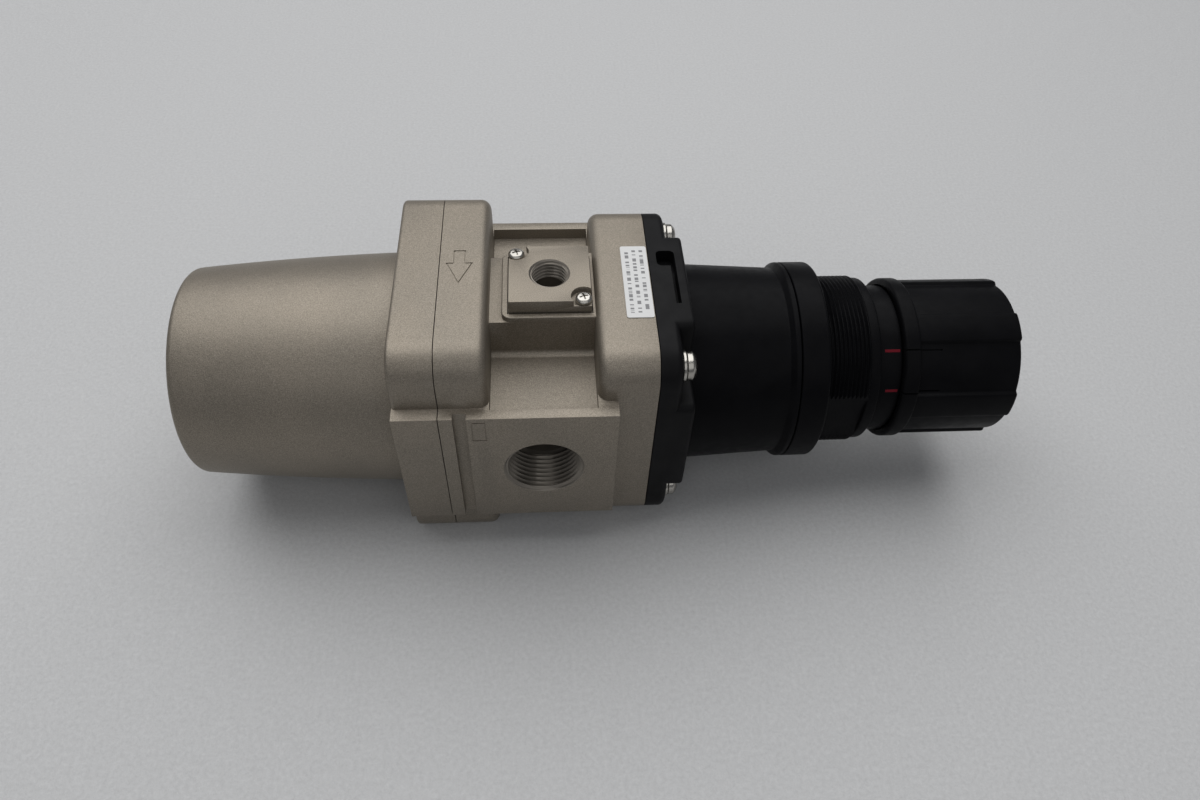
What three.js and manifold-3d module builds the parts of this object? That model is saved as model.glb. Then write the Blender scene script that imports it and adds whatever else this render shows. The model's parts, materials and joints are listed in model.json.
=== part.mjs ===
// Modular compressed-air filter regulator, lying on its side. Millimetres.
// The main axis runs along X: filter bowl at -X, body with the line ports along Y in the middle,
// bonnet and adjusting knob at +X. The gauge port faces +Z.
// All pieces are drawn round the point where the main axis meets the port axis; the exported
// group then moves them so that the origin lies under the middle of the bounding box.
import * as THREE from "three";
import { mergeVertices } from "three/addons/utils/BufferGeometryUtils.js";
import Module from "manifold-3d";

const wasm = await Module();
wasm.setup();

// ---- driving dimensions ----
const GAP = 0.3; // clearance between neighbouring pieces
const FACE_TO_FACE = 95; // between the two port faces
const BLOCK_HEIGHT = 95; // housing and left flange, the lowest and highest part
const BLOCK_DEPTH = 86; // the same block above and below the port faces
const CORNER = 11; // radius of the long edges of the block and of both flanges
const PLATE_HEIGHT = 54.6; // port plates and the block's side faces
const PLATE_WIDTH = 48.4; // port plates along the main axis
const FLANGE_DEPTH = 82.4; // body and bonnet flanges round the diaphragm
const FLANGE_HEIGHT = 84.2;

const X_BOWL_END = -121.3; // outer end of the bowl
const X_FILTER_FOOT = -92; // lower end of the filter element
const X_HOUSING = -47.6; // bowl side of the housing
const X_PARTING = -33.05; // joint between housing and body
const X_NECK_LEFT = -17; // body's waist, from here
const X_NECK_RIGHT = 17.7; // to here
const X_DIAPHRAGM = 37.2; // joint between body and bonnet
const X_FLANGE_END = 44.7; // free face of the bonnet flange
const X_TIER_END = 49.9; // end of the cross behind the bonnet flange
const X_SHOULDER = 87.5; // end of the bonnet's tube
const X_NECK_END = 113.8; // end of the threaded neck
const X_COLLAR_END = 117.4; // end of the plain collar in front of the neck
const X_SLEEVE_END = 133.8;
const X_KNOB = 126; // edge of the knob's skirt, knob pulled out
const X_KNOB_END = 168.9;
const X_DRAIN_END = -132;

const WAIST = 22.8; // half height of the body's waist
const PLATE_THICKNESS = 3.7; // port plates stand this deep in front of the waist
const GAUGE_BLOCK_DEPTH = 31.6; // raised pad for the gauge plate
const GAUGE_FRAME_TOP = 39.9;
const GAUGE_STEP_TOP = 37.9;
const GAUGE_X = 3.1; // centre of the gauge plate and of its port
const GAUGE_PLATE = 27.1; // side of the square gauge plate
const GAUGE_PLATE_TOP = 44.9;
const GAUGE_PLATE_FOOT = 37.2;
const GAUGE_SCREW_OFFSET = 11;
const GAUGE_SEAT_Z = 42.6; // seat of the gauge plate's screw heads

const PORT_MOUTH_R = 13.55; // 3/4 pipe thread
const PORT_THREAD_DEPTH = 15;
const PORT_DEPTH = 23.5;
const GAUGE_MOUTH_R = 6.9; // 1/4 pipe thread

const BOWL_R = 41.3; // at the housing
const BOWL_WALL = 2.6;
const BOWL_NECK_R = 37.4;
const HOUSING_BORE_R = 37.9;
const BOWL_NECK_INNER_R = 32.2;
const TUBE_R = 36; // bonnet tube at the flange
const TUBE_END_R = 34.15;
const SHOULDER_R = 36.15; // bonnet shoulder and ring nut
const NECK_R = 30.9; // crest of the panel thread
const NECK_FLAT = 28.5; // distance of the neck's two flats from the axis
const COLLAR_R = 30.1;
const SLEEVE_R = 27.1; // lock sleeve where it shows
const SLEEVE_GUIDE_R = 25.6; // and inside the knob
const SKIRT_R = 29.8; // knob's round skirt
const KNOB_R = 29;
const X_GRIP = 131.8; // end of the knob's round skirt
const X_SLEEVE_STEP = 125.6;
const LOCK_TRAVEL = 4.5; // of the knob, pushed in
const KNOB_RIBS = 6;
const KNOB_RIB_ANGLE = 111.5; // middle of one rib, degrees from +Y towards +Z
const KNOB_RIB_WIDTH = 20; // degrees
const KNOB_VALLEY = 1.3; // depth between the ribs
const KNOB_SLIT_ANGLE = 127.7; // pointer slit that is read against the sleeve's marks

const VALVE_CHAMBER_R = 17; // inside the body, round the valve guide
const SEAT_R = 9; // throat that the valve closes
const X_SEAT = -4; // rim of the valve's seat
const OUTLET_CHAMBER_R = 15;
const X_OUTLET_START = 1;
const X_OUTLET_END = 14;
const STEM_R = 2.6;
const STEM_BORE_R = 3.2;
const X_SENSING = 26; // floor of the chamber under the diaphragm
const CHAMBER_R = 33; // on both sides of the diaphragm
const X_DIAPHRAGM_SEAT = 35.2;
const SPRING_BORE_R = 30.5; // inside the bonnet's tube
const X_BONNET_WALL = 104; // wall that the adjusting screw turns in
const SCREW_R = 6;
const SCREW_BORE_R = 6.6;
const BUSH_R = 12; // bush of the adjusting screw, pressed into the bonnet's wall

const BONNET_SCREW_Y = 31.8;
const BONNET_SCREW_Z = 32.9;
const HOUSING_SCREW_Y = 35;
const HOUSING_SCREW_Z = 39.5;
const M5_HOLE = 2.9;
const M5_SHANK = 2.45;
const HOUSING_SCREW_SEAT = -42.4;
const WASHER_THICKNESS = 1.1;

const ROUND = 36; // segments of the large round parts
const FINE = 24;
const SMALL = 12;
const FAR = 60; // beyond every face of the body, for boxes that trim it

// ---- solids ----
const degrees = (angle) => (angle * Math.PI) / 180;

function signedVolume(points, index) {
  const [a, b, c] = [new THREE.Vector3(), new THREE.Vector3(), new THREE.Vector3()];
  let sum = 0;
  for (let i = 0; i < index.length; i += 3) {
    a.fromArray(points, 3 * index[i]);
    b.fromArray(points, 3 * index[i + 1]);
    c.fromArray(points, 3 * index[i + 2]);
    sum += a.dot(b.cross(c)) / 6;
  }
  return sum;
}

function solidFrom(geometry) {
  const bare = new THREE.BufferGeometry();
  bare.setAttribute("position", geometry.getAttribute("position").clone());
  if (geometry.index) bare.setIndex(geometry.index.clone());
  const merged = mergeVertices(bare, 1e-4);
  const vertProperties = new Float32Array(merged.getAttribute("position").array);
  const corners = merged.index.array;
  const kept = [];
  for (let i = 0; i < corners.length; i += 3) {
    const [a, b, c] = corners.subarray(i, i + 3);
    if (a !== b && b !== c && c !== a) kept.push(a, b, c);
  }
  if (signedVolume(vertProperties, kept) < 0) kept.reverse();
  const triVerts = new Uint32Array(kept);
  return new wasm.Manifold(new wasm.Mesh({ numProp: 3, vertProperties, triVerts }));
}

function geometryFrom(solid) {
  const mesh = solid.getMesh();
  const geometry = new THREE.BufferGeometry();
  geometry.setAttribute("position", new THREE.BufferAttribute(mesh.vertProperties, 3));
  geometry.setIndex(new THREE.BufferAttribute(mesh.triVerts, 1));
  return geometry;
}

const clean = (geometry) => geometryFrom(solidFrom(geometry));

function join(first, ...others) {
  return geometryFrom(others.reduce((sum, other) => sum.add(solidFrom(other)), solidFrom(first)));
}

function cut(first, ...tools) {
  return geometryFrom(tools.reduce((left, tool) => left.subtract(solidFrom(tool)), solidFrom(first)));
}

function common(first, second) {
  return geometryFrom(solidFrom(first).intersect(solidFrom(second)));
}

// ---- basic shapes ----
function block(x0, x1, y0, y1, z0, z1) {
  const box = new THREE.BoxGeometry(x1 - x0, y1 - y0, z1 - z0);
  return box.translate((x0 + x1) / 2, (y0 + y1) / 2, (z0 + z1) / 2);
}

// A profile of [x, radius] points turned about X. It starts and ends on the axis or is closed.
function revolve(profile, segments = FINE) {
  const points = profile.map(([x, radius]) => new THREE.Vector2(radius, x));
  const onAxis = profile[0][1] === 0 && profile[profile.length - 1][1] === 0;
  if (!onAxis) points.push(points[0].clone());
  return new THREE.LatheGeometry(points, segments).rotateZ(-Math.PI / 2);
}

function rod(x0, x1, radius, segments = FINE) {
  return revolve([[x0, 0], [x0, radius], [x1, radius], [x1, 0]], segments);
}

function ring(x0, x1, inner, outer, segments = FINE) {
  return revolve([[x0, inner], [x0, outer], [x1, outer], [x1, inner]], segments);
}

function torus(x, radius, section, segments = FINE, sides = 5) {
  const shape = new THREE.TorusGeometry(radius, section, sides, segments);
  return shape.rotateY(Math.PI / 2).translate(x, 0, 0);
}

// What lies between two planes across the main axis.
const slice = (x0, x1) => block(x0, x1, -FAR, FAR, -FAR, FAR);

// A profile given from x0 on.
const from = (x0, profile) => profile.map(([x, radius]) => [x0 + x, radius]);

// Copies spaced evenly round the main axis.
function around(count, geometry) {
  return Array.from({ length: count }, (_, i) => geometry.clone().rotateX((2 * Math.PI * i) / count));
}

const alongY = (geometry) => geometry.rotateZ(Math.PI / 2);
const alongZ = (geometry) => geometry.rotateY(-Math.PI / 2);

// A shape drawn in (Y, Z), extruded along X from x0 to x1; edge rounds both end edges.
function prismX(shape, x0, x1, edge = 0, curveSegments = 2, bevelSegments = 2) {
  const options = { depth: x1 - x0 - 2 * edge, bevelEnabled: edge > 0, curveSegments };
  Object.assign(options, { bevelThickness: edge, bevelSize: edge, bevelOffset: -edge, bevelSegments });
  const turn = new THREE.Matrix4().set(0, 0, 1, x0 + edge, 1, 0, 0, 0, 0, 1, 0, 0, 0, 0, 0, 1);
  return new THREE.ExtrudeGeometry(shape, options).applyMatrix4(turn);
}

// A shape drawn in (X, Y), extruded along Z.
function prismZ(shape, z0, z1, curveSegments = 5) {
  const options = { depth: z1 - z0, bevelEnabled: false, curveSegments };
  return new THREE.ExtrudeGeometry(shape, options).translate(0, 0, z0);
}

function roundedRectangle(width, height, radius) {
  const [w, h, r] = [width / 2, height / 2, radius];
  const shape = new THREE.Shape();
  shape.moveTo(w, r - h);
  shape.absarc(w - r, h - r, r, 0, Math.PI / 2);
  shape.absarc(r - w, h - r, r, Math.PI / 2, Math.PI);
  shape.absarc(r - w, r - h, r, Math.PI, 1.5 * Math.PI);
  shape.absarc(w - r, r - h, r, 1.5 * Math.PI, 2 * Math.PI);
  return shape;
}

// Outline shared by the housing and the body's left flange: a rounded block whose sides
// step out to the port faces.
function blockOutline() {
  const [w, h, r] = [BLOCK_DEPTH / 2, BLOCK_HEIGHT / 2, CORNER];
  const [face, ledge] = [FACE_TO_FACE / 2, PLATE_HEIGHT / 2];
  const shape = new THREE.Shape();
  shape.moveTo(face, -ledge);
  shape.lineTo(face, ledge);
  shape.lineTo(w, ledge);
  shape.absarc(w - r, h - r, r, 0, Math.PI / 2);
  shape.absarc(r - w, h - r, r, Math.PI / 2, Math.PI);
  shape.lineTo(-w, ledge);
  shape.lineTo(-face, ledge);
  shape.lineTo(-face, -ledge);
  shape.lineTo(-w, -ledge);
  shape.absarc(r - w, r - h, r, Math.PI, 1.5 * Math.PI);
  shape.absarc(w - r, r - h, r, 1.5 * Math.PI, 2 * Math.PI);
  shape.lineTo(w, -ledge);
  return shape;
}

const FOUR_CORNERS = [[1, 1], [-1, 1], [-1, -1], [1, -1]];

// Copies of a shape on the main axis, moved out to the four corners.
function atCorners(geometry, offsetY, offsetZ) {
  return FOUR_CORNERS.map(([y, z]) => geometry.clone().translate(0, y * offsetY, z * offsetZ));
}

const atBonnetScrews = (geometry) => atCorners(geometry, BONNET_SCREW_Y, BONNET_SCREW_Z);
const atHousingScrews = (geometry) => atCorners(geometry, HOUSING_SCREW_Y, HOUSING_SCREW_Z);

function helix(x0, x1, turns, radius, wire, stepsPerTurn, sides) {
  class Coil extends THREE.Curve {
    getPoint(t, target = new THREE.Vector3()) {
      const angle = 2 * Math.PI * turns * t;
      return target.set(x0 + (x1 - x0) * t, radius * Math.cos(angle), radius * Math.sin(angle));
    }
  }
  const section = new THREE.Shape();
  section.absarc(0, 0, wire, 0, 2 * Math.PI);
  const options = { steps: Math.round(turns * stepsPerTurn), extrudePath: new Coil(), curveSegments: sides };
  return new THREE.ExtrudeGeometry(section, options);
}

// ---- body ----
function portBore(side) {
  const face = FACE_TO_FACE / 2;
  const [floor, threadEnd, chamfer] = [face - PORT_DEPTH, face - PORT_THREAD_DEPTH, 0.7];
  const [wayIn, taperEnd] = [10.5, PORT_MOUTH_R - 1.4];
  const profile = [
    [floor, 0], [floor, wayIn], [threadEnd, wayIn], [threadEnd, taperEnd],
    [face - chamfer, PORT_MOUTH_R - chamfer], [face, PORT_MOUTH_R], [face + 1, PORT_MOUTH_R], [face + 1, 0],
  ];
  const bore = alongY(revolve(profile, FINE));
  return side > 0 ? bore : bore.rotateZ(Math.PI);
}

function gaugePad(side) {
  const [left, right, half, r] = [-12.9, 18.9, GAUGE_BLOCK_DEPTH / 2, 3];
  const frame = new THREE.Shape();
  frame.moveTo(right, -half);
  frame.lineTo(right, half);
  frame.absarc(left + r, half - r, r, Math.PI / 2, Math.PI);
  frame.absarc(left + r, r - half, r, Math.PI, 1.5 * Math.PI);
  const pad = join(
    prismZ(frame, WAIST - 2, GAUGE_FRAME_TOP, 2),
    block(X_NECK_LEFT - 1, left + r, -half, half, WAIST - 2, GAUGE_STEP_TOP),
  );
  return side > 0 ? pad : pad.rotateX(Math.PI);
}

// Recess, port pocket, seal groove and screw holes under a gauge plate, cut into the pad.
function gaugePadCuts(side, isPort) {
  const half = GAUGE_PLATE / 2 + 0.4;
  const floor = GAUGE_PLATE_FOOT - 0.4;
  const above = floor + 1;
  const cuts = [
    block(GAUGE_X - half, GAUGE_X + half, -half, half, floor, GAUGE_PLATE_TOP),
    alongZ(ring(floor - 1.7, above, 7.9, 10.5, FINE)).translate(GAUGE_X, 0, 0),
    alongZ(rod(OUTLET_CHAMBER_R - 3, above, 2.5, 8)).translate(GAUGE_X + 2, 0, 0),
  ];
  if (isPort) cuts.push(alongZ(rod(floor - 4.5, above, 7.2, FINE)).translate(GAUGE_X, 0, 0));
  for (const [x, y] of gaugeScrewPlaces()) {
    cuts.push(alongZ(rod(27, above, 1.8, 8)).translate(x, y, 0));
  }
  return side > 0 ? cuts : cuts.map((tool) => tool.rotateX(Math.PI));
}

// Two opposite corners of a gauge plate.
function gaugeScrewPlaces() {
  return [-GAUGE_SCREW_OFFSET, GAUGE_SCREW_OFFSET].map((away) => [GAUGE_X + away, -away]);
}

// Outline of the flow arrow, cut as shallow grooves into the top of the left flange.
function flowArrow() {
  const [x, depth, width] = [-26.5, 0.35, 0.5];
  const corners = [
    [1.8, 8.6], [-1.8, 8.6], [-1.8, 2.5], [-4.2, 2.5], [0, -7], [4.2, 2.5], [1.8, 2.5], [1.8, 8.6],
  ];
  const top = BLOCK_HEIGHT / 2;
  const strokes = [];
  for (let i = 1; i < corners.length; i += 1) {
    const [from, to] = [corners[i - 1], corners[i]];
    const [dx, dy] = [to[0] - from[0], to[1] - from[1]];
    const stroke = new THREE.BoxGeometry(Math.hypot(dx, dy) + width * 0.9, width, 2 * depth);
    stroke.rotateZ(Math.atan2(dy, dx));
    strokes.push(stroke.translate(x + (from[0] + to[0]) / 2, (from[1] + to[1]) / 2, top));
  }
  return strokes;
}

// Both flanges are drawn longer than they are and sliced, so that only one end edge is round.
function bodyShell() {
  const [face, plate, spare] = [FACE_TO_FACE / 2, PLATE_HEIGHT / 2, 6];
  const inner = face - PLATE_THICKNESS;
  const start = X_PARTING + GAP / 2;
  const flangeEnd = X_DIAPHRAGM - GAP / 2;
  const left = common(
    prismX(blockOutline(), start - spare, X_NECK_LEFT, 3.3),
    slice(start, 0),
  );
  const right = common(
    prismX(roundedRectangle(FLANGE_DEPTH, FLANGE_HEIGHT, CORNER), X_NECK_RIGHT, flangeEnd + spare, 3.6),
    slice(0, flangeEnd),
  );
  const waist = block(X_NECK_LEFT - 5, X_NECK_RIGHT + 5, -inner - 0.5, inner + 0.5, -WAIST, WAIST);
  const cheeks = block(X_NECK_RIGHT + 1.5, PLATE_WIDTH / 2, -face, face, -plate, plate);
  const plates = [-1, 1].map((side) => {
    const [near, far] = side < 0 ? [-face, -inner] : [inner, face];
    return block(-PLATE_WIDTH / 2, PLATE_WIDTH / 2, near, far, -plate, plate);
  });
  return join(left, right, waist, cheeks, ...plates, gaugePad(1), gaugePad(-1));
}

// Bores along the main axis: valve chamber, seat, outlet chamber, stem bore with the pocket of
// its O-ring, and the chamber under the diaphragm. Two passages lead to the ports, and the
// aspirator hole lets the outlet pressure reach the diaphragm.
function bodyCavities() {
  const [open, lip, lipRadius] = [X_PARTING - 0.5, 1, 10.6];
  const [glandStart, glandEnd, glandRadius] = [18.6, 21.4, 5.2];
  const [past, rimRadius] = [X_DIAPHRAGM + 0.8, 37.3];
  const bore = revolve([
    [open, 0], [open, VALVE_CHAMBER_R], [X_SEAT + lip, VALVE_CHAMBER_R], [X_SEAT + lip, lipRadius],
    [X_SEAT, lipRadius], [X_SEAT, SEAT_R], [X_OUTLET_START, SEAT_R],
    [X_OUTLET_START, OUTLET_CHAMBER_R], [X_OUTLET_END, OUTLET_CHAMBER_R],
    [X_OUTLET_END, STEM_BORE_R], [glandStart, STEM_BORE_R], [glandStart, glandRadius],
    [glandEnd, glandRadius], [glandEnd, STEM_BORE_R], [X_SENSING, STEM_BORE_R],
    [X_SENSING, CHAMBER_R], [X_DIAPHRAGM_SEAT, CHAMBER_R], [X_DIAPHRAGM_SEAT, rimRadius],
    [past, rimRadius], [past, 0],
  ]);
  const half = 8; // passages
  const inlet = block(X_PARTING - 1, half, 24.6, 31, -half, half);
  const outlet = block(X_OUTLET_START + 1.5, X_OUTLET_END - 3, -27, -10, -half, half);
  const aspirator = rod(X_OUTLET_END - 2, X_SENSING + 2, 1.4, 8).translate(0, 0, -9.5);
  return [bore, inlet, outlet, aspirator];
}

// Beside each port plate, the left flange's face is set back to the waist's.
function setbacks() {
  const [face, depth, height] = [FACE_TO_FACE / 2, 2.3, 28];
  const box = block(-28.5, -PLATE_WIDTH / 2, face - depth, face + 1, -height, height);
  return [box, box.clone().rotateX(Math.PI)];
}

function body() {
  const oRingGroove = ring(X_PARTING - 1, -30.4, 39, 42);
  return cut(
    bodyShell(), ...bodyCavities(), portBore(1), portBore(-1), ...flowArrow(),
    ...gaugePadCuts(1, true), ...gaugePadCuts(-1, false), ...setbacks(),
    ...atBonnetScrews(rod(22, X_DIAPHRAGM + 1, M5_HOLE, 10)),
    ...atHousingScrews(rod(X_PARTING - 1, -20.5, M5_HOLE, 10)), oRingGroove,
  );
}

// ---- housing, bowl and drain ----
function housing() {
  const [end, spare] = [X_PARTING - GAP / 2, 6];
  const shell = common(prismX(blockOutline(), X_HOUSING, end + spare, 1.2), slice(-FAR, end));
  const [counterbore, seat] = [5.2, HOUSING_SCREW_SEAT];
  const screwHole = revolve([
    [-FAR, 0], [-FAR, counterbore], [seat, counterbore], [seat, M5_HOLE], [end + 1, M5_HOLE], [end + 1, 0],
  ], 10);
  return cut(shell, rod(X_HOUSING - 1, end + 1, HOUSING_BORE_R, ROUND), ...atHousingScrews(screwHole));
}

// The bowl bulges slightly: its radius falls off along its length like a shallow parabola.
function bowlRadius(x) {
  const away = Math.max(0, -50 - x);
  return BOWL_R - 0.0308 * away - 0.000493 * away * away;
}

function bowl() {
  const [end, edge, floor, drainHole] = [X_BOWL_END, 2, 3, 6.5];
  const [neckEnd, grooveStart, grooveEnd, grooveFloor] = [-36.2, -43.6, -40.8, 34.4];
  const shoulder = X_HOUSING - GAP;
  const stations = [-72, -98, end + edge];
  const inside = [...stations].reverse().slice(1);
  const endRadius = bowlRadius(end + edge);
  const profile = [
    [neckEnd, BOWL_NECK_INNER_R], [neckEnd, BOWL_NECK_R], [grooveEnd, BOWL_NECK_R],
    [grooveEnd, grooveFloor], [grooveStart, grooveFloor], [grooveStart, BOWL_NECK_R],
    [shoulder, BOWL_NECK_R], [shoulder, BOWL_R - 0.5], [shoulder - 0.5, BOWL_R],
    ...stations.map((x) => [x, bowlRadius(x)]),
    [end + edge * 0.29, endRadius - edge * 0.29], [end, endRadius - edge], [end, drainHole],
    [end + floor, drainHole], [end + floor, endRadius - 6], [end + 2 * floor, endRadius - BOWL_WALL],
    ...inside.map((x) => [x, bowlRadius(x) - BOWL_WALL]), [-56, 37.9], [-50, BOWL_NECK_INNER_R],
  ];
  return clean(revolve(profile, ROUND));
}

// The drain's pieces are drawn from the bowl's end; the cock's from its own end.
function drainBody() {
  const profile = [
    [6.9, 1.2], [6.9, 9.8], [4.4, 9.8], [4.4, 6.1], [-6.7, 6.1], [-6.7, 2.6], [5.3, 2.6], [5.8, 1.2],
  ];
  return clean(revolve(from(X_BOWL_END, profile), SMALL));
}

const drainGasket = () => clean(ring(X_BOWL_END + 3.2, X_BOWL_END + 4.2, 6.6, 9.6, SMALL));

function drainNut() {
  const thickness = 3.9;
  const hexagon = rod(X_BOWL_END - thickness, X_BOWL_END - GAP, 9.5, 6);
  return cut(hexagon, rod(X_BOWL_END - thickness - 1, X_BOWL_END + 1, 6.45, SMALL));
}

function drainCock() {
  const stem = revolve(from(X_DRAIN_END, [[3, 0], [3, 2.3], [13.5, 2.3], [15.2, 0.9], [15.2, 0]]), SMALL);
  const wing = prismX(roundedRectangle(15, 4.4, 1.6), X_DRAIN_END, X_DRAIN_END + 2.6, 0.6, 2, 1);
  const knob = rod(X_DRAIN_END + 1.2, X_DRAIN_END + 3.7, 5.6, SMALL);
  return join(stem, knob, wing);
}

// ---- filter ----
// Ring of slanted blades that spins the incoming air.
function deflector() {
  const blade = new THREE.BoxGeometry(8, 1.4, 7.8);
  blade.rotateZ(degrees(38)).translate(-41.6, 0, 27.5);
  return join(ring(-40.4, -38.1, 14.8, 24.4, FINE), ...around(10, blade));
}

const filterElement = () => clean(ring(X_FILTER_FOOT, -40.9, 15, 22));

function baffle() {
  const profile = [
    [-5, 4.5], [-5, 19], [-9, 27], [-8, 28.2], [-3, 20.4], [-0.4, 20.4], [-0.4, 4.5],
  ];
  return clean(revolve(from(X_FILTER_FOOT, profile), FINE));
}

function elementBolt() {
  const head = rod(X_FILTER_FOOT - 12, X_FILTER_FOOT - 5.4, 7.5, 6);
  return join(head, rod(X_FILTER_FOOT - 6, X_PARTING - 1, 4, SMALL));
}

// ---- valve ----
// Cup that guides the poppet; the filter hangs from its boss, and six holes let filtered air in.
function valveGuide() {
  const cup = revolve([
    [-33.6, 0], [-33.6, 4.4], [-45, 4.4], [-45, 8], [-37.7, 8], [-37.7, 24], [-33.3, 24],
    [-33.3, VALVE_CHAMBER_R - 0.4], [-8, VALVE_CHAMBER_R - 0.4], [-8, 13.4], [-27, 13.4],
    [-27, 6.3], [-22, 6.3], [-22, 5.4], [-31.5, 5.4], [-31.5, 0],
  ]);
  const hole = rod(-39, -26, 1.6, 5).translate(0, 0, 11.4);
  return cut(cup, ...around(6, hole));
}

const valveSpring = () => clean(helix(-25.9, -12.7, 4.5, 7.6, 0.8, 10, 2));

function valvePoppet() {
  const profile = [
    [-24, 0], [-24, 5], [-22.6, 5], [-22.6, 3.6], [-20.8, 3.6], [-20.8, 5], [-7.5, 5],
    [-7.5, 12.2], [-2.9, 12.2], [-2.9, 3.8], [-0.7, 3.8], [-0.7, STEM_R + GAP],
    [-12, STEM_R + GAP], [-12, 0],
  ];
  return clean(revolve(from(X_SEAT, profile), 20));
}

const valveRubber = () => clean(ring(X_SEAT - 2.6, X_SEAT - 0.4, 4.1, 11.8, 20));
const valveORing = () => clean(torus(X_SEAT - 21.7, 4.45, 0.7, SMALL, 4));

function valveStem() {
  const [start, end, chamfer] = [X_SEAT - 11.5, 29.6, 0.7];
  const profile = [[start, 0], [start, STEM_R], [end - chamfer, STEM_R], [end, STEM_R - chamfer], [end, 0]];
  return clean(revolve(profile, 14));
}

const stemORing = () => clean(torus(20, 4.1, 0.8, SMALL, 4));

// ---- diaphragm ----
// Rubber disc with one rolled fold and a thicker rim, which is held between body and bonnet.
function diaphragm() {
  const [foot, top, centre] = [X_DIAPHRAGM_SEAT + 0.2, 36.3, 28.2];
  const arc = (radius, from, to) => {
    const steps = 3;
    const points = [];
    for (let i = 0; i <= steps; i += 1) {
      const angle = degrees(from + ((to - from) * i) / steps);
      points.push([foot + radius * Math.sin(angle), centre - radius * Math.cos(angle)]);
    }
    return points;
  };
  const profile = [
    [foot, 6.1], ...arc(4.15, 0, 180), [foot, 36.8], [top + 0.3, 36.8], [top + 0.3, 33.9],
    ...arc(5.05, 169.7, 10.3), [top, 6.1],
  ];
  return clean(revolve(profile, FINE));
}

// The hub, its spring plate and its nut are drawn from the diaphragm's seat.
function diaphragmHub() {
  const [outer, relief] = [5.6, 1.8];
  const profile = [
    [-5.2, relief], [-5.2, outer], [-1.8, outer], [-1.8, 20], [-0.2, 20], [-0.2, outer],
    [7, outer], [7, relief],
  ];
  return clean(revolve(from(X_DIAPHRAGM_SEAT, profile), 20));
}

function springPlate() {
  const profile = [
    [1.5, 6], [1.5, 21.5], [3.2, 21.5], [3.2, 13.2], [5.4, 13.2], [5.4, 12], [3.2, 12], [3.2, 6],
  ];
  return clean(revolve(from(X_DIAPHRAGM_SEAT, profile), FINE));
}

function diaphragmNut() {
  const [start, end] = [X_DIAPHRAGM_SEAT + 3.6, X_DIAPHRAGM_SEAT + 6.8];
  return cut(rod(start, end, 8.6, 6), rod(start - 1, end + 1, 6, 16));
}

// ---- pressure adjustment ----
const adjustingSpring = () => clean(helix(41.1, 77.3, 6, 16, 2.1, 14, 3));

// The nut slides on the bonnet's two keys and presses the spring.
function springNut() {
  const [start, length, bore] = [77, 12, SCREW_R + 0.5];
  const profile = [
    [0, bore], [0, 13], [3, 13], [3, 24.3], [9, 24.3], [9, 12], [length, 12], [length, bore],
  ];
  const keyway = block(start - 1, start + length + 1, -3.2, 3.2, 20.6, 29.4);
  return cut(revolve(from(start, profile), FINE), ...around(2, keyway));
}

// Threaded part, collar that bears on the thrust washer, groove of the snap ring, and the
// hexagonal end that drives it from the knob.
function adjustingScrew() {
  const [start, collar, groove, end] = [64, 98.5, X_NECK_END + 0.2, 117];
  const grooveRadius = SCREW_R - 1;
  const profile = [
    [start, 0], [start, SCREW_R - 1], [start + 1, SCREW_R], [collar, SCREW_R], [collar, 10],
    [collar + 3.6, 10], [collar + 3.6, SCREW_R], [groove, SCREW_R], [groove, grooveRadius],
    [groove + 1.6, grooveRadius], [groove + 1.6, SCREW_R], [end, SCREW_R], [end, 0],
  ];
  return join(revolve(profile, SMALL), rod(end - 1, 152, 5.2, 6));
}

const thrustWasher = () => clean(ring(X_BONNET_WALL - 1.6, X_BONNET_WALL - 0.3, 6.5, 10.4, SMALL));

const screwBush = () => clean(ring(X_BONNET_WALL, X_NECK_END, SCREW_BORE_R, BUSH_R));

function snapRing() {
  const start = X_NECK_END + 0.45;
  return cut(ring(start, start + 1.1, 5.4, 9.2, SMALL), block(start - 1, start + 2, -1.6, 1.6, 4, 10));
}

// ---- bonnet and knob ----
// Cross behind the flange and flush with its edges; the screws stand in its four corners.
function bonnetCross() {
  const [armWidth, corner] = [45, 3];
  const arms = [
    roundedRectangle(armWidth, FLANGE_HEIGHT, corner),
    roundedRectangle(FLANGE_DEPTH, armWidth, corner),
  ];
  return join(...arms.map((outline) => prismX(outline, X_FLANGE_END - 4, X_TIER_END, 1)));
}

// Outer wall of tube, shoulder, threaded neck and the short tube that carries the lock sleeve.
function bonnetTurning() {
  return revolve([
    [X_FLANGE_END - 2, 0], [X_FLANGE_END - 2, TUBE_R], [X_TIER_END, TUBE_R], [84.2, TUBE_END_R],
    [86.6, SHOULDER_R], [X_SHOULDER, SHOULDER_R], [X_SHOULDER, NECK_R], [X_NECK_END - 1, NECK_R],
    [X_NECK_END, COLLAR_R], [X_COLLAR_END - 0.7, COLLAR_R], [X_COLLAR_END, COLLAR_R - 0.7],
    [X_COLLAR_END, 20], [X_SLEEVE_END, 20], [X_SLEEVE_END, 0],
  ], ROUND);
}

// Spring chamber, bore of the bush and the room for the knob's hub, with the two keys left
// standing.
function bonnetCavity() {
  const [wall, bushBore, hubRadius] = [X_BONNET_WALL, BUSH_R + GAP, 16];
  const cavity = revolve([
    [37, 0], [37, CHAMBER_R], [43.5, CHAMBER_R], [46, SPRING_BORE_R], [81, SPRING_BORE_R],
    [83, 25.2], [wall, 25.2], [wall, bushBore], [X_NECK_END, bushBore],
    [X_NECK_END, hubRadius], [X_SLEEVE_END + 1, hubRadius], [X_SLEEVE_END + 1, 0],
  ]);
  return cut(cavity, ...around(2, block(66, wall + 1, -2.6, 2.6, 21.5, 31.5)));
}

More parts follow.
